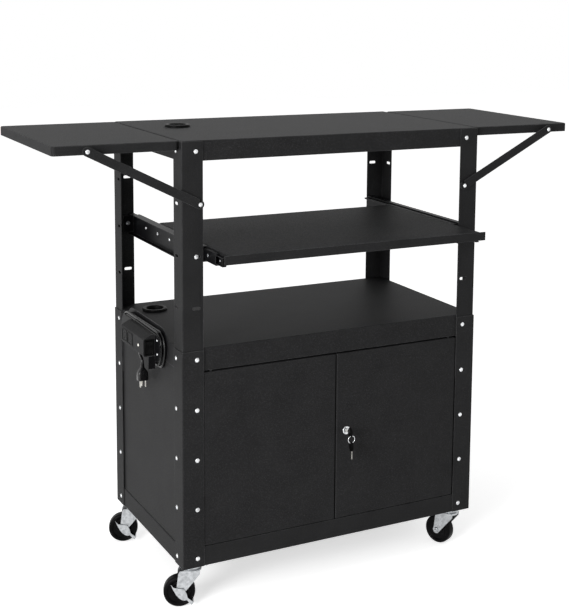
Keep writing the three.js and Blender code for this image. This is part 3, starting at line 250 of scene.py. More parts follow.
def moulded(name, dark, light, rough, grain_scale, shine):
    """Moulded plastic or rubber: a fine spark-eroded grain with a little dust in it."""
    material, tree, shader = new_material(name)
    coords = object_coords(tree)
    grain = noise(tree, coords, scale=grain_scale, detail=2)
    dust = noise(tree, coords, scale=45, detail=4, rough=0.65)
    dusty = spread(tree, dust, 0, 1, from_low=0.45, from_high=0.8)
    tree.links.new(mixed(tree, dusty, dark, light), shader.inputs["Base Color"])
    tree.links.new(spread(tree, dust, *rough), shader.inputs["Roughness"])
    shader.inputs["Specular IOR Level"].default_value = shine
    bump(tree, grain, shader, MOULD_RELIEF, strength=0.5)
    return material


MATERIALS = {
    "black_steel": powder_coat(
        "black_powder_coat", dark=(0.0118, 0.0118, 0.0122), light=(0.037, 0.037, 0.038),
        rough=(0.5, 0.66)),
    # The darker slide coat, also put on parts that sit in shade as painted shade.
    "black_slide": powder_coat(
        "black_plated_slide_and_painted_shade", dark=(0.003, 0.003, 0.0034), light=(0.009, 0.009, 0.01),
        rough=(0.34, 0.46)),
    "screw_plate": bright_metal(
        "bright_screw_plate", colour=(0.87, 0.88, 0.89), rough=(0.22, 0.34),
        streak=(400, 400, 400)),
    "zinc": bright_metal(
        "zinc_plate", colour=(0.5, 0.515, 0.53), rough=(0.24, 0.4), streak=(900, 900, 60)),
    "chrome": bright_metal(
        "chrome_plate", colour=(0.72, 0.73, 0.74), rough=(0.12, 0.2), streak=(300, 300, 300)),
    "brass": bright_metal(
        "nickel_plated_brass", colour=(0.72, 0.7, 0.65), rough=(0.24, 0.36),
        streak=(80, 80, 900)),
    "black_plastic": moulded(
        "black_moulded_plastic", dark=(0.003, 0.003, 0.003), light=(0.009, 0.009, 0.009),
        rough=(0.34, 0.46), grain_scale=1400, shine=0.05),
    "black_rubber": moulded(
        "black_cord_sheath", dark=(0.003, 0.003, 0.0033), light=(0.009, 0.009, 0.0095),
        rough=(0.2, 0.3), grain_scale=1100, shine=0.32),
    "wheel_tread": moulded(
        "black_wheel_tread", dark=(0.0018, 0.0018, 0.002), light=(0.006, 0.006, 0.0065),
        rough=(0.3, 0.42), grain_scale=600, shine=0.05),
    "lamp": moulded(
        "clear_lamp", dark=(0.72, 0.7, 0.64), light=(0.82, 0.8, 0.74),
        rough=(0.15, 0.25), grain_scale=500, shine=0.5),
}


# Mesh helpers

FINE_EDGE = 0.2 * MM
SMALL_EDGE = 0.3 * MM
SOFT_EDGE = 0.35 * MM
AXLE_NUT_EDGE = 0.4 * MM
STOP_EDGE = 1.2 * MM
BEVEL_ANGLE = math.radians(40)
# Depth that a screw's washer goes into the face it sits on
SEAT = 0.2 * MM
# A smaller radius than this is a point on the axis
AXIS_RADIUS = 1e-9


def mesh_from(name, bm):
    bmesh.ops.recalc_face_normals(bm, faces=bm.faces)
    mesh = bpy.data.meshes.new(name)
    bm.to_mesh(mesh)
    bm.free()
    return mesh


def add_piece(name, bm, body, material, replaces=(), sharp=32):
    """A finished piece with its material, riding on its body. Edges over sharp degrees show."""
    mesh = mesh_from(name, bm)
    mesh.materials.append(MATERIALS[material])
    for polygon in mesh.polygons:
        polygon.use_smooth = True
    mesh.set_sharp_from_angle(angle=math.radians(sharp))
    piece = add_object(name, mesh)
    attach(piece, body)
    if replaces:
        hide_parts(*replaces)
    return piece


def bevelled(piece, width):
    modifier = piece.modifiers.new("edges", "BEVEL")
    modifier.width = width
    modifier.segments = 2
    modifier.limit_method = "ANGLE"
    modifier.angle_limit = BEVEL_ANGLE
    modifier.use_clamp_overlap = True


def in_metres(points):
    return [tuple(value * MM for value in point) for point in points]


def circle(radius, count, centre=(0, 0)):
    angles = [2 * math.pi * step / count for step in range(count)]
    return [(centre[0] + radius * math.cos(angle), centre[1] + radius * math.sin(angle))
            for angle in angles]


def rounded_outline(half_a, half_b, corner, steps=6, centre=(0, 0)):
    """A rectangle with round corners of so many steps, as pairs."""
    outline = []
    for quarter in range(4):
        sign_a = (1, -1, -1, 1)[quarter]
        sign_b = (1, 1, -1, -1)[quarter]
        for step in range(steps + 1):
            angle = (quarter + step / steps) * math.pi / 2
            a = centre[0] + sign_a * (half_a - corner) + corner * math.cos(angle)
            b = centre[1] + sign_b * (half_b - corner) + corner * math.sin(angle)
            outline.append((a, b))
    return outline


def add_ring(bm, outline, height, turn):
    """New points: an outline in X and Y at one height along Z, moved by the matrix."""
    return [bm.verts.new(turn @ Vector((a, b, height))) for a, b in outline]


def bridge(bm, rings, closed=False):
    """Faces between each ring and the next. A ring of one point makes a cone."""
    for first, second in zip(rings, rings[1:] + rings[:1] if closed else rings[1:]):
        count = max(len(first), len(second))
        for step in range(count):
            following = (step + 1) % count
            corners = [
                first[step % len(first)],
                first[following % len(first)],
                second[following % len(second)],
                second[step % len(second)],
            ]
            unique = list(dict.fromkeys(corners))
            if len(unique) > 2:
                bm.faces.new(unique)


def lathe(bm, profile, turn=Matrix.Identity(4), sides=48):
    """Turns (radius, height) pairs about Z, then moves them. A closed one repeats its start."""
    closed = profile[0] == profile[-1]
    rings = []
    for radius, height in profile[:-1] if closed else profile:
        outline = [(0, 0)] if radius < AXIS_RADIUS else circle(radius, sides)
        rings.append(add_ring(bm, outline, height, turn))
    bridge(bm, rings, closed)


def prism(bm, outline, low, high, turn=Matrix.Identity(4)):
    """A flat outline in X and Y, drawn from low to high along Z, then moved by the matrix."""
    bottom = add_ring(bm, outline, low, turn)
    top = add_ring(bm, outline, high, turn)
    bm.faces.new(bottom[::-1])
    bm.faces.new(top)
    bridge(bm, [bottom, top])


# Carried-over CAD nodes: softened edges and smooth round faces

SMOOTH_ANGLE = math.radians(34)
FLAT_ANGLE = math.radians(0.5)
NODE_SLOTS = {entry["node"]: entry["material_slot"] for entry in frame["record"]["subparts"]}
# Rail brackets and the strip winder take the darker slide coat: painted shade, for where they sit
# in shade under the top shelf and behind the cord.
PAINTED_SHADE_NODES = ("rail_bracket_left", "rail_bracket_right", "strip_winder")


def smooth_by_angle():
    """A node group that shades faces smooth and keeps edges over the angle sharp."""
    group = bpy.data.node_groups.new("smooth_by_angle", "GeometryNodeTree")
    for direction in ("INPUT", "OUTPUT"):
        group.interface.new_socket(
            "Geometry", in_out=direction, socket_type="NodeSocketGeometry")
    nodes, links = group.nodes, group.links
    start = nodes.new("NodeGroupInput")
    end = nodes.new("NodeGroupOutput")
    angle = nodes.new("GeometryNodeInputMeshEdgeAngle")
    compare = nodes.new("FunctionNodeCompare")
    compare.data_type = "FLOAT"
    compare.operation = "LESS_EQUAL"
    compare.inputs["B"].default_value = SMOOTH_ANGLE
    faces = nodes.new("GeometryNodeSetShadeSmooth")
    faces.domain = "FACE"
    faces.inputs["Shade Smooth"].default_value = True
    edges = nodes.new("GeometryNodeSetShadeSmooth")
    edges.domain = "EDGE"
    links.new(angle.outputs["Unsigned Angle"], compare.inputs["A"])
    links.new(compare.outputs["Result"], edges.inputs["Shade Smooth"])
    links.new(start.outputs["Geometry"], faces.inputs["Geometry"])
    links.new(faces.outputs["Geometry"], edges.inputs["Geometry"])
    links.new(edges.outputs["Geometry"], end.inputs["Geometry"])
    return group


def dress_cad_nodes():
    smooth_group = smooth_by_angle()
    for name, node in frame["nodes"].items():
        node.data.materials.clear()
        look = "black_slide" if name in PAINTED_SHADE_NODES else NODE_SLOTS[name]
        node.data.materials.append(MATERIALS[look])
        merge = node.modifiers.new("flats", "DECIMATE")
        merge.decimate_type = "DISSOLVE"
        merge.angle_limit = FLAT_ANGLE
        bevelled(node, SOFT_EDGE)
        smooth = node.modifiers.new("smooth", "NODES")
        smooth.node_group = smooth_group


dress_cad_nodes()


# Screws

SCREW_RADIUS = 4.2 * MM
SCREW_HEIGHT = 2.5 * MM
SCREW_SIDES = 24
DOME_STEPS = 7
# Shares of the head's radius and height that the dome's curve leaves flat and upright
DOME_FLAT = 0.35
DOME_WALL = 0.42
WASHER_RADIUS = 4.9 * MM
WASHER_HEIGHT = 0.7 * MM
RECESS_LENGTH = 2.3 * MM
RECESS_WIDTH = 0.62 * MM
RECESS_DEPTH = 1.5 * MM


def screw_master():
    """A pan-head screw with a cross recess, standing on the XY plane."""
    dome = [(0, SCREW_HEIGHT)]
    for step in range(1, DOME_STEPS + 1):
        angle = step / DOME_STEPS * math.pi / 2
        dome.append((SCREW_RADIUS * (DOME_FLAT + (1 - DOME_FLAT) * math.sin(angle)),
                     SCREW_HEIGHT * (DOME_WALL + (1 - DOME_WALL) * math.cos(angle))))
    dome += [(SCREW_RADIUS, WASHER_HEIGHT), (WASHER_RADIUS, WASHER_HEIGHT)]
    dome += [(WASHER_RADIUS, -SEAT), (0, -SEAT)]
    bm = bmesh.new()
    lathe(bm, dome, sides=SCREW_SIDES)
    head = add_object("screw_head", mesh_from("screw_head", bm))
    wide, long = RECESS_WIDTH, RECESS_LENGTH
    cross = [
        (wide, wide), (wide, long), (-wide, long), (-wide, wide), (-long, wide), (-long, -wide),
        (-wide, -wide), (-wide, -long), (wide, -long), (wide, -wide), (long, -wide), (long, wide),
    ]
    bm = bmesh.new()
    prism(bm, cross, SCREW_HEIGHT - RECESS_DEPTH, SCREW_HEIGHT + MM)
    cutter = add_object("screw_recess", mesh_from("screw_recess", bm))
    recess = head.modifiers.new("recess", "BOOLEAN")
    recess.operation = "DIFFERENCE"
    recess.object = cutter
    recess.solver = "EXACT"
    graph = bpy.context.evaluated_depsgraph_get()
    mesh = bpy.data.meshes.new_from_object(head.evaluated_get(graph))
    for part in (head, cutter):
        bpy.data.objects.remove(part)
    return mesh


SCREW = screw_master()


def add_screws(name, places, body, scale=1.0):
    """One piece of many screws, each given by its place and the way that its head faces."""
    bm = bmesh.new()
    for place, direction in places:
        start = len(bm.verts)
        bm.from_mesh(SCREW)
        bm.verts.ensure_lookup_table()
        turn = facing(place, direction, random.uniform(0, math.pi)) @ Matrix.Scale(scale, 4)
        bmesh.ops.transform(bm, matrix=turn, verts=bm.verts[start:])
    add_piece(name, bm, body, "screw_plate")


POST_LOW_HALF_X = 383.1 * MM
POST_LOW_HALF_Y = 230.6 * MM
POST_HALF_X = 381.0 * MM
POST_HALF_Y = 228.5 * MM
HOLE_X = 348.3 * MM
HOLE_Y = 195.3 * MM
LOW_LEVELS = [(122.5 + 115 * level) * MM for level in range(5)]
BRACKET_LEVEL = 813 * MM
TOP_LEVEL = 1043.6 * MM


def post_screws():
    places = []
    for side in (-1, 1):
        for end in (-1, 1):
            for z in LOW_LEVELS:
                places.append(((side * HOLE_X, end * POST_LOW_HALF_Y, z), (0, end, 0)))
                places.append(((side * POST_LOW_HALF_X, end * HOLE_Y, z), (side, 0, 0)))
            for z in (BRACKET_LEVEL, TOP_LEVEL):
                places.append(((side * HOLE_X, end * POST_HALF_Y, z), (0, end, 0)))
            places.append(((side * POST_HALF_X, end * HOLE_Y, TOP_LEVEL), (side, 0, 0)))
    return places


add_screws("post_screws", post_screws(), "frame")

NUT_BRACKET_Y = 224.9 * MM
NUT_TAB_X = 377.7 * MM
NUT_TAB_Y = 225.0 * MM
POST_NUT_RADIUS = 5.6 * MM
POST_NUT_HEIGHT = 3.2 * MM
POST_BOLT_RADIUS = 2.4 * MM
POST_BOLT_END = 3 * MM
BOLT_CHAMFER = 0.7
HEXAGON_SPIN = 1


def hexagon(bm, turn, radius, height, end_radius=0, end_height=0):
    """A hexagon head or nut on a face, with the bolt's end showing where it has a radius."""
    prism(bm, circle(radius, 6), 0, height, turn)
    if end_radius:
        tip = height + end_height
        profile = [(0, height), (end_radius, height),
                   (end_radius, height + BOLT_CHAMFER * end_height),
                   (BOLT_CHAMFER * end_radius, tip), (0, tip)]
        lathe(bm, profile, turn, sides=20)


def add_post_nuts():
    """Nuts of the upper posts' screws, behind the bracket and the top shelf's corners."""
    bm = bmesh.new()
    for side in (-1, 1):
        for end in (-1, 1):
            for place, inwards in (
                ((side * HOLE_X, end * NUT_BRACKET_Y, BRACKET_LEVEL), (0, -end, 0)),
                ((side * HOLE_X, end * NUT_TAB_Y, TOP_LEVEL), (0, -end, 0)),
                ((side * NUT_TAB_X, end * HOLE_Y, TOP_LEVEL), (-side, 0, 0)),
            ):
                turn = facing(place, inwards, random.uniform(0, HEXAGON_SPIN))
                hexagon(bm, turn, POST_NUT_RADIUS, POST_NUT_HEIGHT,
                        POST_BOLT_RADIUS, POST_BOLT_END)
    bevelled(add_piece("post_nuts", bm, "frame", "zinc"), SMALL_EDGE)


add_post_nuts()

BRACKET_OUTER_X = 333.5 * MM
SLIDE_SCREWS_Y = (133 * MM, 52 * MM, -27 * MM)
SLIDE_SCREWS_Z = 814.5 * MM
SLIDE_SCREW_SCALE = 0.8

add_screws("bracket_screws", [
    ((side * BRACKET_OUTER_X, y, SLIDE_SCREWS_Z), (side, 0, 0))
    for side in (-1, 1) for y in SLIDE_SCREWS_Y
], "frame", SLIDE_SCREW_SCALE)


# Middle members of the slides, with two rivets each, and end stops in the runners

SLIDE_Z = 816.5 * MM
MIDDLE_FRONT_Y = -290 * MM
MIDDLE_REAR_Y = 0.0
RUNNER_FRONT_Y = -324.5 * MM
STOP_START_Y = RUNNER_FRONT_Y + 0.6 * MM
STOP_END_Y = RUNNER_FRONT_Y + 9 * MM
STOP_X = 323.3 * MM
STOP_HALF_WIDTH = 3.5 * MM
STOP_HALF_HEIGHT = 8.3 * MM
STOP_CORNER = 2 * MM
RIVET_Z = SLIDE_Z + 1.5 * MM
# Distance out and height about the slide's middle, in millimetres
MIDDLE_CHANNEL = [
    (320.3, 12.1), (327.0, 12.1), (327.6, 11.5), (327.6, -11.5), (327.0, -12.1),
    (320.3, -12.1), (320.3, -13.4), (327.6, -13.4), (328.8, -12.2), (328.8, 12.2),
    (327.6, 13.4), (320.3, 13.4),
]
# X, Y and radius of each rivet, in millimetres
RIVETS = [(328.8, -245, 4.2), (326.8, -310, 2.4)]
# Share of the radius, and height in millimetres
RIVET_DOME = [(0, 1.0), (0.6, 0.9), (0.9, 0.5), (1, -0.2), (0, -0.2)]


def add_middle_member(hand, side):
    along = axes_at((0, 0, SLIDE_Z), (side, 0, 0), (0, 0, 1), (0, 1, 0))
    bm = bmesh.new()
    prism(bm, in_metres(MIDDLE_CHANNEL), MIDDLE_FRONT_Y, MIDDLE_REAR_Y, along)
    middle = add_piece(f"slide_middle_{hand}", bm, "pull_shelf", "black_slide")
    bevelled(middle, FINE_EDGE)
    bm = bmesh.new()
    outline = rounded_outline(STOP_HALF_WIDTH, STOP_HALF_HEIGHT, STOP_CORNER, steps=4,
                              centre=(STOP_X, 0))
    prism(bm, outline, STOP_START_Y, STOP_END_Y, along)
    stop = add_piece(f"slide_stop_{hand}", bm, "pull_shelf", "black_plastic")
    bevelled(stop, STOP_EDGE)
    bm = bmesh.new()
    for x, y, radius in RIVETS:
        dome = in_metres((share * radius, height) for share, height in RIVET_DOME)
        lathe(bm, dome, facing((side * x * MM, y * MM, RIVET_Z), (side, 0, 0)), sides=24)
    add_piece(f"slide_rivets_{hand}", bm, "pull_shelf", "zinc")


for hand, side in SIDES:
    add_middle_member(hand, side)


# Heads on the struts' pins and pivots

STRUT_PIN = (341 * MM, -236.8 * MM, 928.5 * MM)
STRUT_PIVOT = (588 * MM, -236 * MM, 1055 * MM)
STRUT_HEAD_SCALE = 0.95


def head_to_front(place, side):
    """A place given on the right, on one side, for a head that faces the front."""
    return (side * place[0], place[1], place[2]), (0, -1, 0)


add_screws("strut_pin_heads", [head_to_front(STRUT_PIN, side) for _, side in SIDES],
           "frame", STRUT_HEAD_SCALE)
for hand, side in SIDES:
    add_screws(f"strut_pivot_head_{hand}", [head_to_front(STRUT_PIVOT, side)],
               f"strut_{hand}", STRUT_HEAD_SCALE)


# Grommets

# Radius and height over the shelf, in millimetres
GROMMET_PROFILE = [
    (20.5, -11), (24.6, -11), (25.0, -10.4), (25.0, 0.3), (30.0, 0.3), (30.0, 3.2),
    (29.6, 4.6), (28.6, 5.6), (27.2, 6.0), (23.2, 6.0), (21.9, 5.6), (21.0, 4.8),
    (20.5, 3.6), (20.5, -11),
]
# Piece, the node it stands for, and its place on the shelf's top
GROMMETS = [
    ("top_grommet_ring", "grommet_top", (-281 * MM, 56 * MM, 1067 * MM)),
    ("shelf_grommet_ring", "grommet_shelf", (-310 * MM, 142 * MM, 607 * MM)),
]

for name, node, place in GROMMETS:
    grommet = bmesh.new()
    lathe(grommet, in_metres(GROMMET_PROFILE), Matrix.Translation(place), sides=72)
    add_piece(name, grommet, "frame", "black_plastic", (node,))


# Castors: wheels, axle nuts and the bolts of the plates

# Radius and height of one half from the bore to the middle of the tread, in millimetres
WHEEL_PROFILE = [
    (4.6, -12.5), (12.4, -12.5), (13.0, -12.1), (13.6, -10.4), (15.2, -9.6), (18.5, -9.4),
    (19.3, -9.9), (20.3, -9.9), (21.0, -9.4), (25.6, -9.4), (26.7, -10.2), (27.7, -11.9),
    (29.0, -12.4), (32.2, -12.2), (34.4, -11.2), (35.6, -9.3), (36.0, -7.0), (36.0, 0.0),
]
TRAIL_DEGREES = {"FL": -20, "FR": -66, "RL": -20, "RR": -30}
CASTOR_PIVOTS = {
    "FL": (-348 * MM, -196 * MM), "FR": (348 * MM, -196 * MM),
    "RL": (-348 * MM, 196 * MM), "RR": (348 * MM, 196 * MM),
}
CASTOR_OFFSET = 29.5 * MM
AXLE_HEIGHT = 36 * MM
FORK_FACE_Y = 16.5 * MM
AXLE_NUT_RADIUS = 6.6 * MM
AXLE_NUT_HEIGHT = 3.6 * MM
AXLE_BOLT_RADIUS = 2.8 * MM
AXLE_BOLT_END = 1.8 * MM
PLATE_BOLT_X = 25.5 * MM
PLATE_BOLT_Y = 21 * MM
PLATE_UNDER_Z = 99.2 * MM
PLATE_BOLT_RADIUS = 4 * MM
PLATE_BOLT_HEIGHT = 2.6 * MM


def axle_frame(end):
    """The middle of a castor's axle, which lies along local Y, with its pivot towards +X."""
    x, y = CASTOR_PIVOTS[end]
    swivel = Matrix.Translation((x, y, 0)) @ Matrix.Rotation(
        math.radians(TRAIL_DEGREES[end]), 4, "Z")
    return swivel @ Matrix.Translation((-CASTOR_OFFSET, 0, AXLE_HEIGHT))


def add_wheel(end):
    half = in_metres(WHEEL_PROFILE)
    other = [(radius, -height) for radius, height in reversed(half[:-1])]
    bm = bmesh.new()
    lathe(bm, half + other + half[:1],
          axle_frame(end) @ Matrix.Rotation(math.radians(90), 4, "X"), sides=72)
    add_piece(f"castor_tyre_{end}", bm, f"castor_wheel_{end}", "wheel_tread",
              (f"castor_wheel_{end}",), sharp=50)


def add_axle_nuts(end):
    """Hexagon bolt head and nut on the axle of a castor without a brake."""
    bm = bmesh.new()
    for side in (-1, 1):
        turn = axle_frame(end) @ facing((0, side * FORK_FACE_Y, 0), (0, side, 0))
        hexagon(bm, turn, AXLE_NUT_RADIUS, AXLE_NUT_HEIGHT, AXLE_BOLT_RADIUS, AXLE_BOLT_END)
    nuts = add_piece(f"axle_nuts_{end}", bm, f"castor_fork_{end}", "zinc")
    bevelled(nuts, AXLE_NUT_EDGE)


def add_plate_bolts(end):
    """Hexagon heads of the bolts that hold the castor's plate."""
    bm = bmesh.new()
    x, y = CASTOR_PIVOTS[end]
    for along in (-1, 1):
        for across in (-1, 1):
            place = (x + along * PLATE_BOLT_X, y + across * PLATE_BOLT_Y, PLATE_UNDER_Z)
            turn = facing(place, (0, 0, -1), random.uniform(0, HEXAGON_SPIN))
            hexagon(bm, turn, PLATE_BOLT_RADIUS, PLATE_BOLT_HEIGHT)
    bevelled(add_piece(f"plate_bolts_{end}", bm, "frame", "zinc"), SMALL_EDGE)


for castor in CASTOR_PIVOTS:
    add_wheel(castor)
    add_plate_bolts(castor)
    if castor.endswith("R"):
        add_axle_nuts(castor)


# Wound cord, its lead and plug

CORD_DIAMETER = 6.4 * MM
CORD_PITCH = 7.2 * MM
CORD_TURNS = 4
CORD_RUN = 195 * MM
CORD_OUTER_RADIUS = 34 * MM
CORD_SAG = 20 * MM
WINDING_Y = 2.5 * MM
WINDING_Z = 587 * MM
WINDING_NEAR = WINDING_Y - CORD_RUN / 2
WINDING_FAR = WINDING_Y + CORD_RUN / 2
WINDING_START = 70 * MM
CORD_LAYER_ONE = -384.3 * MM
CORD_LAYER_TWO = -391.5 * MM
CLIMB_TURNS = 0.5
# Begin, end, angle, sweep and steps of each stretch of a turn: straight runs and round ends
TURN_LEGS = [
    (WINDING_START, WINDING_NEAR, 0, 0, 10),
    (WINDING_NEAR, WINDING_NEAR, 0, math.pi, 18),
    (WINDING_NEAR, WINDING_FAR, math.pi, 0, 14),
    (WINDING_FAR, WINDING_FAR, math.pi, math.pi, 18),
    (WINDING_FAR, WINDING_START, 2 * math.pi, 0, 4),
]
LEAD_STEPS = 4
# In millimetres
LEAD_POINTS = [
    (-391.5, 62.9, 552.8), (-391.5, 54, 551.3), (-391.9, 42, 549.8), (-393.6, 27, 547.7),
    (-395.9, 12, 544.5), (-397.4, -1, 540.2), (-398, -10.5, 535.4), (-398, -14.5, 529.8),
    (-398, -14.5, 524.3),
]


def loop_stations():
    """Places along one turn: (distance along Y, angle round an end, share of the turn)."""
    stations, travelled = [], 0
    for begin, end, angle, sweep, steps in TURN_LEGS:
        length = abs(end - begin) + sweep * CORD_OUTER_RADIUS
        for step in range(steps):
            share = step / steps
            stations.append((begin + (end - begin) * share, angle + sweep * share,
                             travelled + length * share))
        travelled += length
    return [(along, angle, distance / travelled) for along, angle, distance in stations]


def winding_point(along, angle, turns):
    """A place in the winding, whose lower runs hang slack towards the near end.

    The cord winds inwards through half its turns, climbs to the second layer and winds out.
    """
    radius = CORD_OUTER_RADIUS - CORD_PITCH * min(turns, CORD_TURNS - turns)
    climb = min(max((turns - CORD_TURNS / 2) / CLIMB_TURNS + 0.5, 0), 1)
    slack = min(max((WINDING_START - along) / (WINDING_START - WINDING_NEAR), 0), 1)
    hang = 1 + CORD_SAG / CORD_OUTER_RADIUS * (slack if math.cos(angle) > 0 else 0)
    return Vector((CORD_LAYER_ONE + (CORD_LAYER_TWO - CORD_LAYER_ONE) * climb,
                   along - radius * math.sin(angle),
                   WINDING_Z - radius * hang * math.cos(angle)))


def catmull_rom(points, steps):
    """A smooth path through points, with so many steps from each to the next."""
    ends = [2 * points[0] - points[1], *points, 2 * points[-1] - points[-2]]
    path = []
    for before, start, end, after in zip(ends, ends[1:], ends[2:], ends[3:]):
        for step in range(steps):
            t = step / steps
            path.append(0.5 * (2 * start + (end - before) * t
                               + (2 * before - 5 * start + 4 * end - after) * t * t
                               + (3 * start - before - 3 * end + after) * t ** 3))
    path.append(points[-1])
    return path


def cord_path():
    stations = loop_stations()
    path = [winding_point(along, angle, turn + share)
            for turn in range(CORD_TURNS) for along, angle, share in stations]
    path.append(winding_point(stations[0][0], stations[0][1], CORD_TURNS))
    path.insert(0, path[0] + Vector((0, CORD_DIAMETER, 0)))
    return path + catmull_rom([Vector(point) * MM for point in LEAD_POINTS], LEAD_STEPS)


def add_cord():
    path = cord_path()
    curve = bpy.data.curves.new("mains_cord", "CURVE")
    curve.dimensions = "3D"
    curve.bevel_depth = CORD_DIAMETER / 2
    curve.bevel_resolution = 4
    curve.use_fill_caps = True
    curve.twist_mode = "MINIMUM"
    spline = curve.splines.new("POLY")
    spline.points.add(len(path) - 1)
    for point, place in zip(spline.points, path):
        point.co = (*place, 1)
    spline.use_smooth = True
    curve.materials.append(MATERIALS["black_rubber"])
    cord = add_object("mains_cord", curve)
    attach(cord, "frame")
    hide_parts("cord_winding", "cord_lead")
    length = sum((b - a).length for a, b in zip(path, path[1:]))
    return cord, path, length


BOOT_PLACE = (-384.3 * MM, 76.6 * MM, 553 * MM)
BOOT_RIBS = 6
# The boot's sizes, in millimetres. The root and tip are pairs of distance along and radius.
BOOT_LENGTH = 24
BOOT_BORE = 3.1
BOOT_ROOT = [(0.0, 3.55), (1.2, 3.6)]
BOOT_TIP = [(21.6, 3.3), (24.0, 3.22)]
FIRST_RIB = 1.6
RIB_PITCH = 3.2
RIB_RADIUS = 3.56
RIB_TAPER = 0.04
GROOVE_DEPTH = 0.22
GROOVE_END = 1.0
RIB_START = 1.3
RIB_END = 2.9


def add_boot():
    """Ribbed strain relief that tapers along the cord from the block on the winder."""
    profile = list(BOOT_ROOT)
    for rib in range(BOOT_RIBS):
        start = FIRST_RIB + RIB_PITCH * rib
        size = RIB_RADIUS - RIB_TAPER * rib
        profile += [(start, size - GROOVE_DEPTH), (start + GROOVE_END, size - GROOVE_DEPTH),
                    (start + RIB_START, size), (start + RIB_END, size)]
    profile += BOOT_TIP + [(BOOT_LENGTH, BOOT_BORE), (0, BOOT_BORE), BOOT_ROOT[0]]
    bm = bmesh.new()
    lathe(bm, in_metres((radius, along) for along, radius in profile),
          facing(BOOT_PLACE, (0, -1, 0)), sides=32)
    add_piece("cord_boot", bm, "frame", "black_rubber")


PLUG_TOP = Vector((-398, -14.5, 524)) * MM
PLUG_FACE = PLUG_TOP + Vector((0, 0, -40)) * MM
NECK_END = -12
NECK_ROUNDNESS = 0.98
BODY_ROUNDNESS = 0.5
# Height over the plug's top, half width and half depth, in millimetres
PLUG_SECTIONS = [
    (5.5, 3.3, 3.3), (4.5, 3.7, 3.7), (3, 3.7, 3.7), (2.6, 3.45, 3.45), (1.2, 3.45, 3.45),
    (0.8, 4.0, 4.0), (-0.8, 4.1, 4.1), (-1.2, 3.7, 3.7), (-2.5, 4.6, 4.6), (-4, 3.9, 3.9),
    (-5.5, 5.0, 5.0), (-7, 4.3, 4.3), (-8.5, 5.4, 5.4), (-10, 4.8, 4.8), (-12, 6.2, 5.8),
    (-17, 9.6, 7.2), (-21, 11.8, 8.4), (-26, 12.4, 8.9), (-37.6, 12.5, 9.0),
    (-39.3, 12.1, 8.6), (-40, 11.2, 7.7),
]
BLADE_X = 6.35 * MM
BLADE_Y = -2.5 * MM
BLADE_HALF_THICKNESS = 0.75 * MM
BLADE_HALF_WIDTH = 3.2 * MM
BLADE_TIP = -16 * MM
BLADE_ROOT = 1 * MM
EARTH_PIN_Y = 5 * MM
# Radius and height, in millimetres
EARTH_PIN_PROFILE = [(0, 1), (2.35, 1), (2.35, -14), (1.6, -15.6), (0, -16)]


def rectangle(half_a, half_b):
    return [(-half_a, -half_b), (half_a, -half_b), (half_a, half_b), (-half_a, half_b)]


def add_plug():
    """Moulded plug hanging from the cord: ribbed neck, flat body, two blades, an earth pin."""
    bm = bmesh.new()
    rings = []
    for height, half_x, half_y in PLUG_SECTIONS:
        roundness = NECK_ROUNDNESS if height > NECK_END else BODY_ROUNDNESS
        corner = min(half_x, half_y) * roundness
        outline = rounded_outline(half_x * MM, half_y * MM, corner * MM)
        rings.append(add_ring(bm, outline, height * MM, Matrix.Translation(PLUG_TOP)))
    bridge(bm, rings)
    bm.faces.new(rings[0][::-1])
    bm.faces.new(rings[-1])
    body = add_piece("plug_body", bm, "frame", "black_rubber",
                     ("mains_plug",), sharp=45)
    bm = bmesh.new()
    for side in (-1, 1):
        place = PLUG_FACE + Vector((side * BLADE_X, BLADE_Y, 0))
        prism(bm, rectangle(BLADE_HALF_THICKNESS, BLADE_HALF_WIDTH), BLADE_TIP, BLADE_ROOT,
              Matrix.Translation(place))
    lathe(bm, in_metres(EARTH_PIN_PROFILE),
          Matrix.Translation(PLUG_FACE + Vector((0, EARTH_PIN_Y, 0))), sides=24)
    blades = add_piece("plug_blades", bm, "frame", "brass")
    bevelled(blades, SMALL_EDGE)
    return body, blades


cord_piece, cord_points, cord_length = add_cord()
add_boot()
plug_pieces = add_plug()


# Power strip: outlet rims, lamp and screws on its outer face, the rocker's bezel on its end

STRIP_FACE_X = -425.1 * MM
STRIP_MIDDLE_X = -411.2 * MM
STRIP_MIDDLE_Z = 585 * MM
STRIP_FRONT_Y = -98 * MM
OUTLET_CENTRES = (30 * MM, -8 * MM)
OUTLET_OUTER = (17.5 * MM, 15 * MM, 4 * MM)
OUTLET_INNER = (15.2 * MM, 12.7 * MM, 3 * MM)
OUTLET_PROUD = 1.2 * MM
BEZEL_OUTER = (11.8 * MM, 19 * MM, 3 * MM)
BEZEL_INNER = (9.6 * MM, 16.2 * MM, 0.8 * MM)
BEZEL_PROUD = 1.6 * MM
RIM_SEAT = 0.3 * MM
RIM_SHOULDER = 0.7
LAMP_Y = -67 * MM
# Radius and height, in millimetres
LAMP_PROFILE = [(3.2, -0.3), (3.2, 0.8), (2.7, 1.6), (1.4, 2.3), (0, 2.5)]
EAR_FACE_X = -397.0 * MM
EAR_SCREW_Y = -112 * MM
EAR_SCREWS_Z = (571 * MM, 603 * MM)
EAR_SCREW_SCALE = 0.7


def raised_rim(bm, outer, inner, turn, proud):
    """A raised rim between two round-cornered outlines, seated a little into its face."""
    outer, inner = rounded_outline(*outer), rounded_outline(*inner)
    levels = [(outer, -RIM_SEAT), (outer, proud * RIM_SHOULDER), (inner, proud),
              (inner, -RIM_SEAT)]
    bridge(bm, [add_ring(bm, outline, height, turn) for outline, height in levels], closed=True)


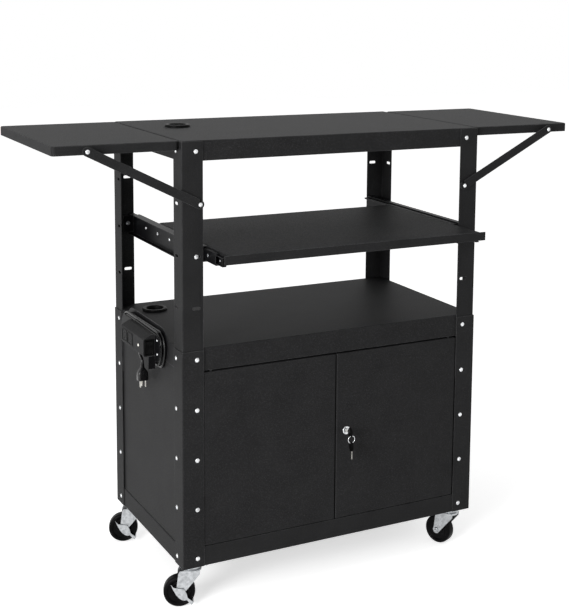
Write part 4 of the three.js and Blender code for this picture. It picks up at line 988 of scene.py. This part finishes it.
def add_strip_details():
    bm = bmesh.new()
    for y in OUTLET_CENTRES:
        turn = facing((STRIP_FACE_X, y, STRIP_MIDDLE_Z), (-1, 0, 0))
        raised_rim(bm, OUTLET_OUTER, OUTLET_INNER, turn, OUTLET_PROUD)
    turn = facing((STRIP_MIDDLE_X, STRIP_FRONT_Y, STRIP_MIDDLE_Z), (0, -1, 0))
    raised_rim(bm, BEZEL_OUTER, BEZEL_INNER, turn, BEZEL_PROUD)
    add_piece("strip_rims", bm, "frame", "black_plastic")
    bm = bmesh.new()
    lathe(bm, in_metres(LAMP_PROFILE),
          facing((STRIP_FACE_X, LAMP_Y, STRIP_MIDDLE_Z), (-1, 0, 0)), sides=24)
    add_piece("strip_lamp", bm, "frame", "lamp")
    places = [((EAR_FACE_X, EAR_SCREW_Y, z), (-1, 0, 0)) for z in EAR_SCREWS_Z]
    add_screws("strip_screws", places, "frame", EAR_SCREW_SCALE)


add_strip_details()


# Lock, keys and ring

LOCK_X = 27.5 * MM
LOCK_Z = 363 * MM
DOOR_FRONT_Y = -229.1 * MM
# Radius and height over the door, in millimetres
LOCK_PROFILE = [
    (4.5, -15.5), (8.0, -15.5), (8.0, 0.3), (9.6, 0.3), (10.0, 0.8), (10.0, 2.0),
    (9.4, 3.0), (8.2, 3.5), (6.0, 3.5), (5.6, 3.1), (4.9, 3.0), (4.5, 2.6), (4.5, -15.5),
]
BOW_RADIUS = 11 * MM
BOW_STEPS = 40
BOW_STRETCH = 0.06
BOW_HALF = 1.5 * MM
BOW_RIM = 0.5 * MM
BOW_RIM_SHARE = 0.9
KEY_HOLE_RADIUS = 2.6 * MM
KEY_HOLE_WALL = 1.2 * MM
BLADE_HALF_HEIGHT = 3.3 * MM
KEY_BLADE_HALF = 0.6 * MM
# Depths of the cuts along the blade's edge, in millimetres
KEY_CUTS = (0.0, 0.9, 0.9, 1.9, 1.9, 0.5, 0.5, 1.4, 1.4, 0.0)
CUTS_START = 0.3
CUTS_SHARE = 0.62
# Along from the blade's end and across, in millimetres
KEY_TIP = [(-2, -3.3), (0, -0.6), (-1, 2.2)]
INSERTED_BOW_Y = -250 * MM
INSERTED_BLADE_Y = -248 * MM
INSERTED_BLADE_LENGTH = 29 * MM
SPARE_BLADE_DROP = 8 * MM
SPARE_BLADE_LENGTH = 24 * MM
KEY_HOLE_Y = -256.0 * MM
KEY_HOLE_Z = 358.0 * MM
RING_RADIUS = 8.5 * MM
RING_WIRE = 0.9 * MM
RING_SLACK = 1.4 * MM
RING_CENTRE_Z = KEY_HOLE_Z - RING_SLACK - RING_RADIUS
SPARE_HOLE_Z = RING_CENTRE_Z - RING_RADIUS - RING_SLACK
SPARE_BOW_Z = SPARE_HOLE_Z - BOW_RADIUS + KEY_HOLE_RADIUS + KEY_HOLE_WALL


def add_lock_barrel():
    bm = bmesh.new()
    lathe(bm, in_metres(LOCK_PROFILE), facing((LOCK_X, DOOR_FRONT_Y, LOCK_Z), (0, -1, 0)))
    add_piece("lock_face", bm, "door_right", "chrome", ("lock_barrel",), sharp=40)


def add_key_bow(name, body, node, bow_y, bow_z, hole_z):
    """A key's flat moulded bow in the YZ plane, with a hole for the ring."""
    turn = axes_at((LOCK_X, bow_y, bow_z), (0, 1, 0), (0, 0, 1), (1, 0, 0))
    bow = []
    for step in range(BOW_STEPS):
        angle = 2 * math.pi * step / BOW_STEPS
        radius = BOW_RADIUS * (1 - BOW_STRETCH * math.cos(2 * angle))
        bow.append((radius * math.cos(angle), radius * math.sin(angle)))
    rim = [(a * BOW_RIM_SHARE, b * BOW_RIM_SHARE) for a, b in bow]
    levels = [(rim, -BOW_HALF), (bow, -BOW_HALF + BOW_RIM), (bow, BOW_HALF - BOW_RIM),
              (rim, BOW_HALF)]
    bm = bmesh.new()
    rings = [add_ring(bm, outline, height, turn) for outline, height in levels]
    hole = circle(KEY_HOLE_RADIUS, 20, centre=(KEY_HOLE_Y - bow_y, hole_z - bow_z))
    bores = [add_ring(bm, hole, height, turn) for height in (-BOW_HALF, BOW_HALF)]
    bridge(bm, rings)
    bridge(bm, bores[::-1])
    for ring, bore in ((rings[0], bores[0]), (rings[-1], bores[1])):
        edges = [bm.edges.get((loop[k], loop[(k + 1) % len(loop)])) for loop in (ring, bore)
                 for k in range(len(loop))]
        bmesh.ops.triangle_fill(bm, use_beauty=True, edges=edges)
    add_piece(f"{name}_bow", bm, body, "black_plastic", (node,))


def add_key_blade(name, body, length, turn):
    """A key's blade along local X, with cuts in one edge and a sloped tip."""
    last = len(KEY_CUTS) - 1
    cuts = [(length * (CUTS_START + CUTS_SHARE * k / last), BLADE_HALF_HEIGHT - cut * MM)
            for k, cut in enumerate(KEY_CUTS)]
    tip = [(length + a, b) for a, b in in_metres(KEY_TIP)]
    outline = [(0, -BLADE_HALF_HEIGHT), *tip, *cuts[::-1], (0, BLADE_HALF_HEIGHT)]
    bm = bmesh.new()
    prism(bm, outline, -KEY_BLADE_HALF, KEY_BLADE_HALF, turn)
    add_piece(f"{name}_blade", bm, body, "brass")


def add_keys():
    add_key_bow("inserted_key", "lock_key", "key", INSERTED_BOW_Y, LOCK_Z, KEY_HOLE_Z)
    into_lock = axes_at((LOCK_X, INSERTED_BLADE_Y, LOCK_Z), (0, 1, 0), (0, 0, 1), (1, 0, 0))
    add_key_blade("inserted_key", "lock_key", INSERTED_BLADE_LENGTH, into_lock)
    add_key_bow("spare_key", "spare_key", "spare_key", KEY_HOLE_Y, SPARE_BOW_Z, SPARE_HOLE_Z)
    hanging = axes_at((LOCK_X, KEY_HOLE_Y, SPARE_BOW_Z - SPARE_BLADE_DROP),
                      (0, 0, -1), (0, 1, 0), (1, 0, 0))
    add_key_blade("spare_key", "spare_key", SPARE_BLADE_LENGTH, hanging)
    wire = circle(RING_WIRE, 12, centre=(RING_RADIUS, 0))
    bm = bmesh.new()
    lathe(bm, wire + wire[:1], facing((LOCK_X, KEY_HOLE_Y, RING_CENTRE_Z), (0, -1, 0)),
          sides=60)
    add_piece("split_ring", bm, "key_ring", "chrome", ("key_ring",), sharp=60)


add_lock_barrel()
add_keys()


# Floor, backdrop and light

FLOOR_HALF = 12.0
FLOOR_DROP = 0.2 * MM
FLOOR_LIFT = 0.58
FLOOR_TONES = ((0.93, 0.93, 0.93), (0.95, 0.95, 0.95))
FLOOR_ROUGHNESS = 0.8
FLOOR_SHINE = 0.1
WORLD_LEVEL = 0.47
WHITE = (1, 1, 1, 1)
# Name, place, target, side length and power of each lamp
LAMPS = [
    ("key", (-3.4, -2.2, 1.5), (0, 0, 0.6), 1.6, 134),
    ("top", (-0.4, -0.8, 3.6), (0, 0, 0.5), 3.0, 18),
]


def seen_rays(tree, otherwise, when_seen):
    """One value for what the camera sees, also through gloss and glass, and one for light."""
    rays = tree.nodes.new("ShaderNodeLightPath")
    total = rays.outputs["Is Camera Ray"]
    for kind in ("Is Glossy Ray", "Is Transmission Ray"):
        total = joined(tree, "MAXIMUM", total, rays.outputs[kind])
    return spread(tree, total, otherwise, when_seen, from_low=0, from_high=1)


def add_floor():
    bm = bmesh.new()
    bm.faces.new(add_ring(bm, rectangle(FLOOR_HALF, FLOOR_HALF), -FLOOR_DROP,
                          Matrix.Identity(4)))
    mesh = mesh_from("floor", bm)
    material, tree, shader = new_material("pale_floor")
    tone = noise(tree, object_coords(tree), scale=2)
    tree.links.new(mixed(tree, tone, *FLOOR_TONES), shader.inputs["Base Color"])
    shader.inputs["Roughness"].default_value = FLOOR_ROUGHNESS
    shader.inputs["Specular IOR Level"].default_value = FLOOR_SHINE
    shader.inputs["Emission Color"].default_value = WHITE
    tree.links.new(seen_rays(tree, 0, FLOOR_LIFT), shader.inputs["Emission Strength"])
    mesh.materials.append(material)
    add_object("floor", mesh)


def add_world():
    world = bpy.data.worlds.new("studio")
    bpy.context.scene.world = world
    world.use_nodes = True
    tree = world.node_tree
    background = next(n for n in tree.nodes if n.type == "BACKGROUND")
    background.inputs["Color"].default_value = WHITE
    tree.links.new(seen_rays(tree, WORLD_LEVEL, 1), background.inputs["Strength"])


def add_lamp(name, place, target, size, energy):
    data = bpy.data.lights.new(name, "AREA")
    data.shape = "RECTANGLE"
    data.size, data.size_y = size, size
    data.energy = energy
    lamp = add_object(name, data)
    direction = Vector(target) - Vector(place)
    turn = direction.to_track_quat("-Z", "Y").to_matrix()
    lamp.matrix_world = Matrix.Translation(place) @ turn.to_4x4()
    lamp.visible_camera = False


add_floor()
add_world()
for lamp_values in LAMPS:
    add_lamp(*lamp_values)
bpy.context.scene.view_settings.view_transform = "Standard"
